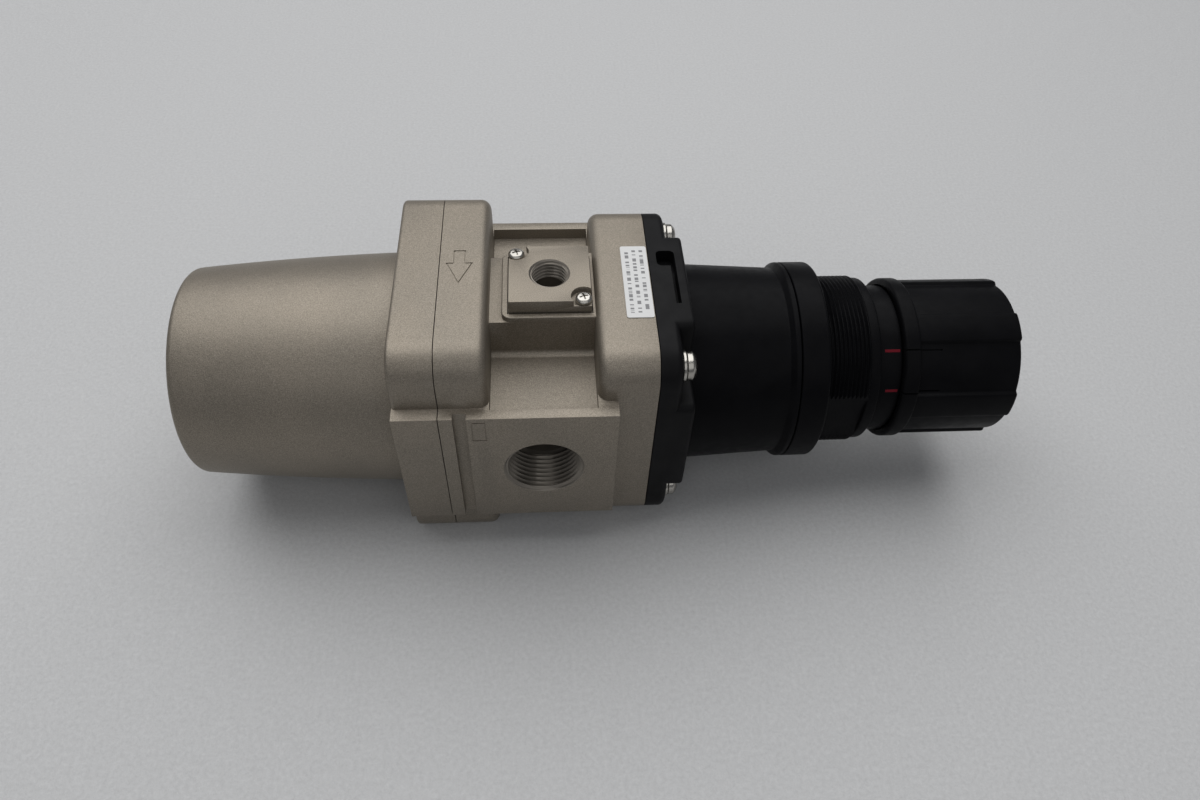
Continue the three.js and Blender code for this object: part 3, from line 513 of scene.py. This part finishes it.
CAD_MATERIALS = {
    "cast_paint": PAINT,
    "black_cover": BLACK,
    "drain_plastic": BLACK,
    "nickel": NICKEL,
    "zinc_steel": STEEL,
    "brass": BRASS,
    "nitrile": RUBBER,
    "grey_plastic": MOULDED,
    "filter_media": MEDIA,
    "paper": PAPER,
}


# ---- body ----
PIPE_TAPER = 1 / 32  # fall of a tapered pipe thread's radius along its length


def port_cutter(side):
    """Threaded port, its mouth on the port face."""
    depth, mouth, pitch, thread_depth = 15, 13.45, 1.814, 1.1
    way_end, way_radius = FACE - 23.5, 10.5
    thread = threaded_bar(FACE - depth, FACE + 0.6, mouth, pitch, thread_depth, PIPE_TAPER)
    way = bar(way_end, FACE - depth + 0.5, way_radius)
    inner, outer = FACE - 0.8, FACE + 0.2
    chamfer = turned([(inner, 0), (inner, mouth - 0.7), (outer, mouth + 0.3), (outer, 0)], FINE)
    turn = TO_Y if side > 0 else TO_MINUS_Y
    return [scratch(moved(tool, turn), BARE_ALLOY) for tool in (thread, way, chamfer)]


def arrow_cutters():
    """Outline of the flow arrow, pointing to the outlet, as shallow grooves."""
    x, depth, width = -26.5, 0.35, 0.45
    shaft, head, tail, neck, tip = 1.8, 4.2, 8.6, 2.5, -7
    corners = [
        (shaft, tail), (-shaft, tail), (-shaft, neck), (-head, neck), (0, tip), (head, neck), (shaft, neck),
    ]
    strokes = []
    for (x0, y0), (x1, y1) in zip(corners, corners[1:] + corners[:1]):
        length = math.hypot(x1 - x0, y1 - y0)
        stroke = block(-length / 2 - width / 2, length / 2 + width / 2, -width / 2, width / 2, -depth, depth)
        turn = Matrix.Rotation(math.atan2(y1 - y0, x1 - x0), 4, "Z")
        middle = (x + (x0 + x1) / 2, (y0 + y1) / 2, BLOCK_HALF[1])
        strokes.append(scratch(moved(stroke, turn, middle), PAINT))
    return strokes


def frame_mark_cutters():
    """Small empty frame cast into the corner of the front port face."""
    x0, x1, z0, z1 = -22.7, -18.1, 16.1, 25.5
    width, depth = 0.35, 0.25
    strokes = [
        (x0, x1, z0, z0 + width), (x0, x1, z1 - width, z1),
        (x0, x0 + width, z0, z1), (x1 - width, x1, z0, z1),
    ]
    return [scratch(block(a, b, -FACE - 1, depth - FACE, low, high), PAINT) for a, b, low, high in strokes]


def pad_shells(side):
    """Raised pad with its lower step and the concave fillets at its foot."""
    left, right, half, corner_radius = -12.9, 18.9, 15.8, 3
    top, step_top, foot = 39.9, 37.9, 2.2
    frame_outline = rounded(
        [(left, -half, corner_radius), (right, -half), (right, half), (left, half, corner_radius)], 8,
    )
    shells = [
        upright_prism(frame_outline, WAIST - 2, top, 0.4),
        block(WAIST_X[0] - 1, left + 3, -half, half, WAIST - 2, step_top),
    ]
    for sign in (1, -1):
        corner = [(sign * (half - 0.2), WAIST - 0.2), (sign * (half + foot), WAIST - 0.2)]
        for k in range(7):
            angle = math.radians(15 * k)
            reach = (half + foot - foot * math.sin(angle), WAIST + foot - foot * math.cos(angle))
            corner.append((sign * reach[0], reach[1]))
        corner.append((sign * (half - 0.2), WAIST + foot))
        shells.append(prism(corner, WAIST_X[0] - 1, WAIST_X[1] + 1))
    if side < 0:
        shells = [moved(shell, UNDERSIDE) for shell in shells]
    return [scratch(shell, PAINT) for shell in shells]


def pad_cutters(side):
    """Square recess that takes the plate, and the hole below the gauge port."""
    floor, half, hole = 36.8, 14, 7.2
    cutters = [scratch(block(-11, 17.2, -half, half, floor, 46), PAINT)]
    cutters.append(scratch(moved(bar(floor - 4.5, floor + 1, hole), TO_Z, (GAUGE_X, 0, 0)), BARE_ALLOY))
    if side < 0:
        for cutter in cutters:
            cutter.data.transform(UNDERSIDE)
    return cutters


def body_shells():
    """Left block, right flange, the waist between them and the port plates."""
    left, right = BODY_LOW.x, BODY_HIGH.x
    block_edge, flange_edge = 3.3, 3.6
    shells = [
        prism(cornered(BLOCK_HALF), left, WAIST_X[0], 0, block_edge, 7),
        block(left, WAIST_X[0], -FACE, FACE, -LEDGE, LEDGE),
        prism(cornered(FLANGE_HALF), WAIST_X[1], right, flange_edge, 0, 7),
        block(WAIST_X[0] - 5, WAIST_X[1] + 5, -INNER_FACE - 0.5, INNER_FACE + 0.5, -WAIST, WAIST),
        block(WAIST_X[1], PLATE_X[1], -FACE, FACE, -LEDGE, LEDGE),
        block(*PLATE_X, -FACE, -INNER_FACE, -LEDGE, LEDGE),
        block(*PLATE_X, INNER_FACE, FACE, -LEDGE, LEDGE),
    ]
    return [scratch(shell, PAINT) for shell in shells]


def body_cavities():
    """Valve bore, seat, outlet chamber and diaphragm chamber, and the ways to the ports."""
    left, right = BODY_LOW.x - 1, BODY_HIGH.x + 1
    guide, seat, throat, outlet, stem, chamber, rim = 17, 10.6, 9, 15, 3.2, 33, 37.3
    bore = [
        (left, 0), (left, guide), (-3, guide), (-3, seat), (-4, seat), (-4, throat), (1, throat),
        (1, outlet), (14, outlet), (14, stem), (26, stem), (26, chamber), (35.2, chamber), (35.2, rim),
        (right, rim), (right, 0),
    ]
    ways = [block(left, 8, 24.6, 31, -8, 8), block(2.5, 11, -27, -10, -8, 8)]
    return [scratch(tool, BARE_ALLOY) for tool in (turned(bore, FINE), *ways)]


def body_details():
    """Grooves beside the port plates, screw holes and the seal groove."""
    left = BODY_LOW.x - 1
    past, floor = FACE + 1, FACE - 2.3
    seal_inner, seal_outer, seal_depth = 39, 42, 2.5
    grooves = ((-past, -floor), (floor, past))
    cutters = [block(-28.5, PLATE_X[0], y0, y1, -28, 28) for y0, y1 in grooves]
    cutters.append(tube(left, BODY_LOW.x + seal_depth, seal_inner, seal_outer))
    for y, z in FOUR_CORNERS:
        cutters.append(moved(bar(22, 38, SCREW_HOLE), (0, y * BONNET_SCREW.x, z * BONNET_SCREW.y)))
        cutters.append(moved(bar(left, -20.5, SCREW_HOLE), (0, y * HOUSING_SCREW.x, z * HOUSING_SCREW.y)))
    return [scratch(cutter, PAINT) for cutter in cutters]


def make_body():
    shell = boolean_union(body_shells() + pad_shells(1) + pad_shells(-1))
    soften_edges(shell, 0.4, BODY_LOW.x)
    tools = port_cutter(1) + port_cutter(-1) + pad_cutters(1) + pad_cutters(-1)
    tools += body_cavities() + body_details() + arrow_cutters() + frame_mark_cutters()
    boolean(shell, tools, "DIFFERENCE")
    return finish_piece(shell, "cast_body", "base", ["body"])


def boolean_union(shells):
    """All shells joined into the first."""
    return boolean(shells[0], shells[1:], "UNION")


# ---- housing and bowl ----
def make_housing():
    """Plate between body and bowl, with the bowl's bore and four counterbored screw holes."""
    x0, x1 = HOUSING_LOW.x, HOUSING_HIGH.x
    bowl_bore, counterbore, counterbore_floor = 37.9, 5.2, -42.4
    shell = boolean_union([
        scratch(prism(cornered(BLOCK_HALF), x0, x1, 1.3, 0, 4), PAINT),
        scratch(block(x0, x1, -FACE, FACE, -LEDGE, LEDGE), PAINT),
    ])
    bore = [(x0 - 1, 0), (x0 - 1, bowl_bore + 1), (x0 + 0.9, bowl_bore), (x1 + 1, bowl_bore), (x1 + 1, 0)]
    cutters = [scratch(turned(bore), BARE_ALLOY)]
    for y, z in FOUR_CORNERS:
        profile = [
            (x0 - 1, 0), (x0 - 1, counterbore), (counterbore_floor, counterbore),
            (counterbore_floor, SCREW_HOLE), (x1 + 1, SCREW_HOLE), (x1 + 1, 0),
        ]
        hole = turned(profile, MEDIUM)
        cutters.append(scratch(moved(hole, (0, y * HOUSING_SCREW.x, z * HOUSING_SCREW.y)), BARE_ALLOY))
    soften_edges(shell, 0.5, x1)
    boolean(shell, cutters, "DIFFERENCE")
    return finish_piece(shell, "bowl_housing", "base", ["housing"])


BULGE_START = -50  # where the bowl is widest


def bowl_radius(x):
    """The bowl bulges slightly: its radius falls off along its length like a shallow parabola."""
    slope, bend = 0.0308, 0.000493
    away = max(0, BULGE_START - x)
    return BOWL_HIGH.y - slope * away - bend * away * away


def make_bowl():
    """Bulging bowl with a narrower neck that has the seal's groove, and the drain's hole in its end."""
    end, mouth, shoulder = BOWL_LOW.x, BOWL_HIGH.x, HOUSING_LOW.x - 0.3
    wall, neck, neck_inner, floor, drain_hole = 2.6, 37.4, 32.2, 3, 6.5
    groove_start, groove_end, groove_floor = -43.6, -40.8, 34.4
    steps = 14
    side = [shoulder - 1 + (end + 2 - shoulder) * i / steps for i in range(steps + 1)]
    outer = [(x, bowl_radius(x)) for x in side[:-1]]
    inner = [(x, bowl_radius(x) - wall) for x in reversed(side[2:-1])]
    end_radius = bowl_radius(end)
    profile = [
        (mouth, neck_inner), (mouth, neck, 0.6), (groove_end, neck), (groove_end, groove_floor),
        (groove_start, groove_floor), (groove_start, neck), (shoulder, neck),
        (shoulder, bowl_radius(shoulder) - 0.1, 0.4), *outer, (end, end_radius, 2.4),
        (end, drain_hole), (end + floor, drain_hole), (end + floor, end_radius - wall, 3), *inner,
        (BULGE_START, neck_inner),
    ]
    shell = scratch(turned(rounded(profile)), PAINT)
    return finish_piece(shell, "filter_bowl", "bowl_unit", ["bowl"])


# ---- drain ----
STUD_RADIUS = 6.1  # crest of the drain's thread


def make_drain_nut():
    """Hexagonal nut with its outer corners turned off."""
    low, high = span("drain_nut")
    radius, turned_off, beyond = (high.z - low.z) / 2, 1.4, 30
    nut = scratch(bar(low.x, high.x, radius, 6), NICKEL)
    crown = turned([
        (low.x - 1, 0), (low.x - 1, beyond), (high.x + 1, beyond), (high.x + 1, radius), (high.x, radius),
        (low.x + 1, radius - 0.1), (low.x, radius - turned_off), (low.x, 0),
    ], ROUND)
    bore = bar(low.x - 2, high.x + 2, STUD_RADIUS + 0.35)
    boolean(nut, [scratch(crown, NICKEL), scratch(bore, NICKEL)], "DIFFERENCE")
    finish_piece(nut, "hex_drain_nut", "bowl_unit", ["drain_nut"])


def make_drain_stud():
    """Threaded stud with a flange inside the bowl and a plain tip that the tap screws into."""
    low, high = span("drain_body")
    way, flange, flange_start, tip, tip_length, pitch = 2.6, 9.8, -116.9, 5.4, 1.2, 1
    threaded = threaded_bar(low.x + 0.8, -117, STUD_RADIUS, pitch, 0.5, 0, MEDIUM)
    parts = [scratch(tube(flange_start, high.x, way, flange, ROUND, 0.4), BRASS), scratch(threaded, BRASS)]
    parts.append(scratch(tube(low.x, low.x + tip_length, way, tip, MEDIUM, 0.3), BRASS))
    finish_piece(merged(parts), "drain_stud", "bowl_unit", ["drain_body"])


def make_drain_tap():
    """Wing, round grip and tapered stem of the drain cock."""
    low, high = span("drain_cock")
    start, end, radius, stem_radius, tip_radius = -130.6, -128.3, 5.6, 2.3, 0.9
    wing = prism(rectangle(-7.5, 7.5, -2.2, 2.2, 1.6, 6), low.x, -129, 0.7, 0, 4)
    grip = turned(rounded([(start, 0), (start, radius, 0.6), (end, radius, 0.3), (end, 0)], 4), ROUND)
    stem_profile = [
        (-129, 0), (-129, stem_radius), (-118.5, stem_radius), (high.x, tip_radius), (high.x, 0),
    ]
    parts = [scratch(part, BLACK) for part in (wing, grip, turned(stem_profile, MEDIUM))]
    finish_piece(merged(parts), "drain_tap", "drain_cock", ["drain_cock"])


# ---- bonnet ----
FLANGE_END = 44.7  # end of the square flange
CROSS_END = 49.9
CROSS_HALF = 22.5  # half width of the cross's arms


def bonnet_cross():
    """Cross behind the flange and flush with its edges."""
    y_half, z_half = FLANGE_HALF
    corner, edge = 3, 1.2
    arms = (
        rectangle(-y_half, y_half, -CROSS_HALF, CROSS_HALF, corner, 5),
        rectangle(-CROSS_HALF, CROSS_HALF, -z_half, z_half, corner, 5),
    )
    return [prism(arm, FLANGE_END - 2.7, CROSS_END, 0, edge, 4) for arm in arms]


def pocket_cutters():
    """Round-cornered pocket in the top of the flange, and the slot that runs on from it."""
    floor, top = BONNET_HIGH.z - 4.9, BONNET_HIGH.z + 2
    left, right, front, rear, corner = 40, 46.4, 6.1, 13.7, 1.8
    slot_left, slot_front = 44.6, -12.3
    pocket = upright_prism(rectangle(left, right, front, rear, corner, 5), floor, top)
    return [pocket, block(slot_left, right, slot_front, front + 1.4, floor + 0.4, top)]


def bonnet_tube():
    """Slightly tapered tube that widens to the shoulder behind the ring nut."""
    start, shoulder, inside = 44, NUT_LOW.x - 0.4, 20
    wide, narrow, shoulder_radius = 36, 34.2, 36.15
    profile = [
        (start, inside), (start, wide), (50, wide), (84.2, narrow, 0.8), (86, shoulder_radius, 1.2),
        (shoulder, shoulder_radius, 0.3), (shoulder, inside),
    ]
    return turned(rounded(profile, 8))


def make_bonnet():
    """Flange, cross and tube, then the threaded neck, its collar and what they hide."""
    left, neck_end, edge = BONNET_LOW.x, COLLAR_X[0], 2.4
    shell = boolean_union([
        scratch(prism(cornered(FLANGE_HALF), left, FLANGE_END, 0, edge, 6), BLACK_CAST),
        *[scratch(arm, BLACK_CAST) for arm in bonnet_cross()],
        scratch(bonnet_tube(), BLACK),
    ])
    mouth, spring_bore, neck_bore = 33, 30.5, 25
    chamber = [
        (37, 0), (37, mouth), (43.5, mouth), (46, spring_bore), (81, spring_bore), (86, neck_bore),
        (90, neck_bore), (90, 0),
    ]
    cutters = [*pocket_cutters(), turned(chamber, FINE)]
    for y, z in FOUR_CORNERS:
        cutters.append(moved(bar(36, 46, SCREW_HOLE), (0, y * BONNET_SCREW.x, z * BONNET_SCREW.y)))
    boolean(shell, [scratch(cutter, BLACK_CAST) for cutter in cutters], "DIFFERENCE")

    pitch, thread_depth, flat, carrier, carrier_bore, bush_bore = 1.5, 0.75, 28.5, 20, 16, 12.3
    plain = scratch(tube(86, 99.4, neck_bore, NECK_RADIUS, SMOOTH), BLACK)
    threaded = scratch(threaded_bar(98.9, neck_end, NECK_RADIUS, pitch, thread_depth, 0, 144), BLACK)
    cutters = []
    for y0, y1 in ((flat, flat + 10), (-flat - 10, -flat)):
        cutters.append(scratch(block(98.8, neck_end + 1, y0, y1, -20, 20), BLACK))
    cutters.append(scratch(bar(85, neck_end + 1, carrier + 0.2, ROUND), BLACK))
    boolean(threaded, cutters, "DIFFERENCE")
    collar = scratch(tube(neck_end - 0.4, COLLAR_X[1], carrier, COLLAR_RADIUS, SMOOTH, 0.6), BLACK)
    inner = scratch(tube(103, SLEEVE_HIGH.x, carrier_bore, carrier, ROUND), BLACK)
    wall = scratch(tube(104, 112, bush_bore, neck_bore, ROUND), BLACK)
    cover = merged([shell, plain, threaded, collar, inner, wall])
    finish_piece(cover, "bonnet_cover", "base", ["bonnet"])


def make_ring_nut():
    x0, x1, outer, bore = NUT_LOW.x, NUT_HIGH.x, NUT_HIGH.y, NECK_RADIUS + 0.5
    profile = [
        (x0, bore + 0.4), (x0, outer, 0.5), (x1, outer, 1.1), (x1, bore + 0.7), (x1 - 0.7, bore),
        (x0 + 0.4, bore),
    ]
    nut = scratch(turned(rounded(profile)), BLACK)
    return finish_piece(nut, "panel_nut", "ring_nut", ["ring_nut"])


MARK_ANGLES = (127.6, 158.2)  # of the sleeve's marks and the knob's slits, from +Y towards +Z


def make_sleeve():
    """Sleeve behind the knob, thinner inside it, with two red marks."""
    x0, x1, outer, inner, step = SLEEVE_LOW.x, SLEEVE_HIGH.x, SLEEVE_HIGH.y, 20.4, 125.6
    guide, half_width = outer - 1.5, 0.5
    profile = [
        (x0, inner), (x0, outer, 0.4), (step, outer, 0.2), (step + 0.5, guide), (x1, guide, 0.8), (x1, inner),
    ]
    sleeve = scratch(turned(rounded(profile)), BLACK)
    marks = []
    for angle, start in zip(MARK_ANGLES, (x0 + 1.9, x0 + 2.9)):
        mark = block(start, step - 0.6, -half_width, half_width, outer - 0.2, outer + 0.04, 0.02)
        marks.append(scratch(moved(mark, Matrix.Rotation(math.radians(angle - 90), 4, "X")), MARK))
    finish_piece(merged([sleeve, *marks]), "marked_sleeve", "base", ["lock_sleeve"])


# ---- knob ----
RIBS = 6
RIB_ANGLE = 111.5  # middle of one rib, in degrees from +Y towards +Z
RIB_HALF = 10  # half width of a rib, in degrees
SLIT_HALF = 0.25


def ribbed_outline(rib_radius, valley_radius):
    """Six ribs between wide valleys, with steep flanks."""
    outline = []
    flank = 1.6
    for i in range(RIBS):
        middle = RIB_ANGLE + 360 / RIBS * i
        stations = [(middle - RIB_HALF + RIB_HALF * k / 4, rib_radius) for k in range(9)]
        valley = 360 / RIBS - 2 * RIB_HALF - 2 * flank
        start = middle + RIB_HALF + flank
        stations += [(start + valley * k / 12, valley_radius) for k in range(13)]
        outline += [(r * math.cos(math.radians(a)), r * math.sin(math.radians(a))) for a, r in stations]
    return outline


def make_knob():
    """Round skirt and ribbed grip, hollow round the sleeve, with a hub in the middle."""
    x0, x1, skirt_radius = KNOB_LOW.x, KNOB_HIGH.x, KNOB_HIGH.y
    skirt_end, floor, hub_start, hub_radius = x0 + 5.8, x1 - 4, 142, 9.2
    grip_radius, edge = skirt_radius - 0.8, 1.3
    outline = ribbed_outline(grip_radius, grip_radius - 1.3)
    skirt_profile = [(x0, 20), (x0, skirt_radius, edge), (skirt_end, skirt_radius, 0.8), (skirt_end, 20)]
    skirt = scratch(turned(rounded(skirt_profile, 6)), BLACK)
    grip = scratch(prism(outline, x0 + 4, x1, 0, edge, 4), BLACK)
    soften_edges(grip, 0.3)
    knob = boolean_union([skirt, grip])
    mouth, guide, step, inside = SLEEVE_HIGH.y + 0.5, SLEEVE_HIGH.y - 1, x0 + 4.9, 24.4
    hollow = turned([
        (x0 - 1, 0), (x0 - 1, mouth), (step, mouth), (step, guide), (hub_start, guide),
        (hub_start, inside), (floor, inside), (floor, hub_radius), (hub_start, hub_radius), (hub_start, 0),
    ], FINE)
    cutters = [hollow]
    in_skirt = (x0 - 1, skirt_end, grip_radius - 0.9)
    in_grip = (skirt_end - 0.1, x0 + 14, grip_radius - 2)
    for angle in MARK_ANGLES:
        for start, end, bottom in (in_skirt, in_grip):
            slit = block(start, end, -SLIT_HALF, SLIT_HALF, bottom, skirt_radius + 1)
            cutters.append(moved(slit, Matrix.Rotation(math.radians(angle - 90), 4, "X")))
    boolean(knob, [scratch(cutter, BLACK) for cutter in cutters], "DIFFERENCE")
    return finish_piece(knob, "ribbed_knob", "knob", ["knob"])


# ---- screws, plates and label ----
LONG_SHANK = 2.45  # radius of the long screws


def cross_recess(x, size):
    """The two bars of a screwdriver's cross, sunk into a head that ends at x."""
    first_turn, depth, half_width = 0.3, 1.3, size * 0.2
    bars = []
    for turn in (first_turn, first_turn + math.pi / 2):
        cross_bar = block(x - depth, x + 1, -size, size, -half_width, half_width, 0.05)
        bars.append(moved(cross_bar, Matrix.Rotation(turn, 4, "X")))
    return bars


def pan_head(radius, height, shank, length):
    """A cross-recessed screw along the main axis, its head's seat on x = 0."""
    profile = [
        (-length, 0), (-length, shank), (0, shank), (0, radius, 0.25), (height * 0.5, radius, radius * 0.2),
        (height * 0.85, radius * 0.72, radius * 0.4), (height, 0),
    ]
    return turned(rounded(profile, 5), ROUND)


def make_bonnet_screws():
    """Cross-recessed screws through the bonnet's corners, each with its washer."""
    head_height, recess = 3.7, 2.5
    for i, (y, z) in enumerate(FOUR_CORNERS, 1):
        place = (0, y * BONNET_SCREW.x, z * BONNET_SCREW.y)
        low, high = span(f"bonnet_screw_{i}")
        seat = high.x - head_height
        shape = pan_head((high.z - low.z) / 2, head_height, LONG_SHANK, seat - low.x)
        screw = scratch(moved(shape, (seat, 0, 0), place), NICKEL)
        cuts = [scratch(moved(cut, place), NICKEL) for cut in cross_recess(high.x, recess)]
        boolean(screw, cuts, "DIFFERENCE")
        finish_piece(screw, f"pan_screw_{i}", "base", [f"bonnet_screw_{i}"])
        low, high = span(f"bonnet_washer_{i}")
        ring = tube(low.x, high.x, SCREW_HOLE, (high.y - low.y) / 2, ROUND, 0.25)
        washer = scratch(moved(ring, place), NICKEL)
        finish_piece(washer, f"spring_washer_{i}", "base", [f"bonnet_washer_{i}"])


def make_housing_screws():
    """Socket-head screws through the housing's corners."""
    head_length, head, socket, socket_depth = 4.8, 4.3, 2.3, 2.5
    for i, (y, z) in enumerate(FOUR_CORNERS, 1):
        low, high = span(f"housing_screw_{i}")
        seat = low.x + head_length
        profile = [
            (low.x, 0), (low.x, head, 0.5), (seat, head), (seat, LONG_SHANK), (high.x, LONG_SHANK),
            (high.x, 0),
        ]
        place = (0, y * HOUSING_SCREW.x, z * HOUSING_SCREW.y)
        screw = scratch(moved(turned(rounded(profile, 4), MEDIUM), place), STEEL)
        hexagon = moved(bar(low.x - 1, low.x + socket_depth, socket, 6), place)
        boolean(screw, [scratch(hexagon, STEEL)], "DIFFERENCE")
        finish_piece(screw, f"cap_screw_{i}", "base", [f"housing_screw_{i}"])


def make_square_plate(prefix, side):
    """Square plate on a pad, with its two screws; the upper one has the gauge port."""
    low, high = PLATE_LOW, PLATE_HIGH
    above, screw_seat, recess_floor, recess, screw_hole = 46, 42.9, 42.6, 4.2, 1.9
    turn = Matrix.Identity(4) if side > 0 else UNDERSIDE
    plate = scratch(block(low.x, high.x, low.y, high.y, low.z, high.z), PAINT)
    cutters = []
    for x, y in GAUGE_SCREWS:
        cutters.append(scratch(moved(bar(recess_floor, above, recess, ROUND), TO_Z, (x, y, 0)), PAINT))
        cutters.append(scratch(moved(bar(30, above, screw_hole), TO_Z, (x, y, 0)), BARE_ALLOY))
    boolean(plate, cutters, "DIFFERENCE")
    soften_edges(plate, 0.3)
    if side > 0:
        mouth, pitch, thread_depth = 6.75, 1.337, 0.8
        thread = threaded_bar(low.z - 1, high.z + 0.4, mouth, pitch, thread_depth, PIPE_TAPER, ROUND)
        inner, outer = high.z - 0.6, high.z + 0.2
        chamfer = turned([(inner, 0), (inner, mouth - 0.45), (outer, mouth + 0.35), (outer, 0)], ROUND)
        tools = [scratch(moved(tool, TO_Z, (GAUGE_X, 0, 0)), BARE_ALLOY) for tool in (thread, chamfer)]
        boolean(plate, tools, "DIFFERENCE")
    plate.data.transform(turn)
    finish_piece(plate, f"square_{prefix}_plate", "base", [f"{prefix}_plate"])
    for i, (x, y) in enumerate(GAUGE_SCREWS, 1):
        place = (x, y, 0)
        screw = scratch(moved(pan_head(2.75, 1.95, 1.45, 11), (screw_seat, 0, 0), TO_Z, place), NICKEL)
        cuts = [scratch(moved(cut, TO_Z, place), NICKEL) for cut in cross_recess(screw_seat + 2, 1.5)]
        boolean(screw, cuts, "DIFFERENCE")
        screw.data.transform(turn)
        finish_piece(screw, f"small_{prefix}_screw_{i}", "base", [f"{prefix}_screw_{i}"])


def make_label():
    """Sticker with rounded corners beside the gauge plate."""
    low, high = span("label")
    outline = rectangle(low.x, high.x, low.y, high.y, 0.8, 6)
    sheet = upright_prism(outline, low.z, high.z)
    finish_piece(scratch(sheet, PAPER), "blank_label", "base", ["label"])


# ---- filter, seen when the bowl is off ----
def make_filter_element():
    """Fluted tube of sintered filter material."""
    low, high = span("filter_element")
    flutes, mean_radius, flute_depth, bore = 40, 21.55, 0.42, 15
    outline = []
    for i in range(flutes * 4):
        angle = 2 * math.pi * i / (flutes * 4)
        radius = mean_radius + flute_depth * math.cos(flutes * angle)
        outline.append((radius * math.cos(angle), radius * math.sin(angle)))
    element = scratch(prism(outline, low.x, high.x, 0.3, 0.3, 2), MEDIA)
    boolean(element, [scratch(bar(low.x - 1, high.x + 1, bore, ROUND), MEDIA)], "DIFFERENCE")
    finish_piece(element, "sintered_element", "base", ["filter_element"])


def make_baffle():
    """Flared cone that holds the element's outer end."""
    low, high = span("baffle")
    bore, neck, flare = 4.5, 20.4, 28.2
    profile = [
        (-97, bore), (-97, 19, 1), (low.x, flare - 1.2), (low.x + 1, flare, 0.4), (-95, neck, 1),
        (high.x, neck, 0.4), (high.x, bore),
    ]
    cone = scratch(turned(rounded(profile, 4)), MOULDED)
    finish_piece(cone, "baffle_cone", "base", ["baffle"])


# ---- CAD nodes that stay ----
def dress_cad_nodes():
    """Gives every CAD node that still shows its material, rounded edges and smooth shading."""
    slots = {part["node"]: part["material_slot"] for part in frame["record"]["subparts"]}
    for name, node in frame["nodes"].items():
        if node.hide_render:
            continue
        node.data.materials.clear()
        node.data.materials.append(CAD_MATERIALS[slots[name]])
        for polygon in node.data.polygons:
            polygon.use_smooth = True
        weld = node.modifiers.new("weld", "WELD")
        weld.merge_threshold = 1e-6
        bevel = node.modifiers.new("edges", "BEVEL")
        bevel.width = 0.15 * MM
        bevel.segments = 2
        bevel.limit_method = "ANGLE"
        bevel.angle_limit = math.radians(40)
        bevel.harden_normals = True


# ---- studio ----
def add_floor():
    """A pale matt sheet with a fine sparkle in its relief."""
    material, tree, shader = new_material("pale_sheet", Specular_IOR_Level=0.3)
    grain = noise(tree, 1.5, 4, 0.7)
    colour = ramp(tree, grain, ((0.3, (0.478, 0.48, 0.482)), (0.7, (0.567, 0.57, 0.573))))
    tree.links.new(colour, shader.inputs["Base Color"])
    tree.links.new(mapped(tree, noise(tree, 6, 2), 0.42, 0.6), shader.inputs["Roughness"])
    bump(tree, shader, grain, 0.16)
    sheet = bmesh.new()
    bmesh.ops.create_grid(sheet, x_segments=2, y_segments=2, size=3)
    data = bpy.data.meshes.new("floor")
    sheet.to_mesh(data)
    sheet.free()
    data.materials.append(material)
    floor = bpy.data.objects.new("floor", data)
    bpy.context.scene.collection.objects.link(floor)


def add_light(name, place, target, size, power, colour=(1, 1, 1)):
    data = bpy.data.lights.new(name, "AREA")
    data.shape = "RECTANGLE"
    data.size, data.size_y = size
    data.energy = power
    data.color = colour
    light = bpy.data.objects.new(name, data)
    light.location = place
    light.rotation_mode = "QUATERNION"
    light.rotation_quaternion = (Vector(target) - Vector(place)).to_track_quat("-Z", "Y")
    bpy.context.scene.collection.objects.link(light)


def add_studio():
    world = bpy.data.worlds.new("studio")
    bpy.context.scene.world = world
    world.use_nodes = True
    background = world.node_tree.nodes["Background"]
    background.inputs["Color"].default_value = (0.93, 0.95, 1.0, 1)
    background.inputs["Strength"].default_value = 0.16
    add_light("ceiling", (-0.1, 0.55, 1.2), (0, 0.1, 0), (2.2, 1.7), 21.5)
    add_light("fill", (0.1, -1.1, 1.1), (0, 0, 0.05), (2.2, 1.2), 4.5)
    bpy.context.scene.view_settings.view_transform = "Standard"


def add_camera():
    """The camera at the photograph's place, measured from the crossing, with its fitted lens."""
    place = Vector((0.08, -221.63, 246.00)) * MM + CROSSING
    yaw, pitch, roll = (math.radians(angle) for angle in (5.73, 50.26, 3.15))
    forward = Vector((math.sin(yaw) * math.cos(pitch), math.cos(yaw) * math.cos(pitch), -math.sin(pitch)))
    level = Vector((math.cos(yaw), -math.sin(yaw), 0))
    upright = level.cross(forward)
    right = level * math.cos(roll) + upright * math.sin(roll)
    up = right.cross(forward)
    data = bpy.data.cameras.new("camera")
    data.sensor_width = 36
    data.lens = 26.70
    data.clip_start = 0.01
    camera = bpy.data.objects.new("camera", data)
    axes = Matrix((right, up, -forward)).transposed()
    camera.matrix_world = Matrix.Translation(place) @ axes.to_4x4()
    bpy.context.scene.collection.objects.link(camera)
    bpy.context.scene.camera = camera


make_body()
make_housing()
make_bowl()
make_drain_nut()
make_drain_stud()
make_drain_tap()
make_bonnet()
make_ring_nut()
make_sleeve()
make_knob()
make_bonnet_screws()
make_housing_screws()
make_square_plate("gauge", 1)
make_square_plate("blank", -1)
make_label()
make_filter_element()
make_baffle()
dress_cad_nodes()
add_floor()
add_studio()
add_camera()
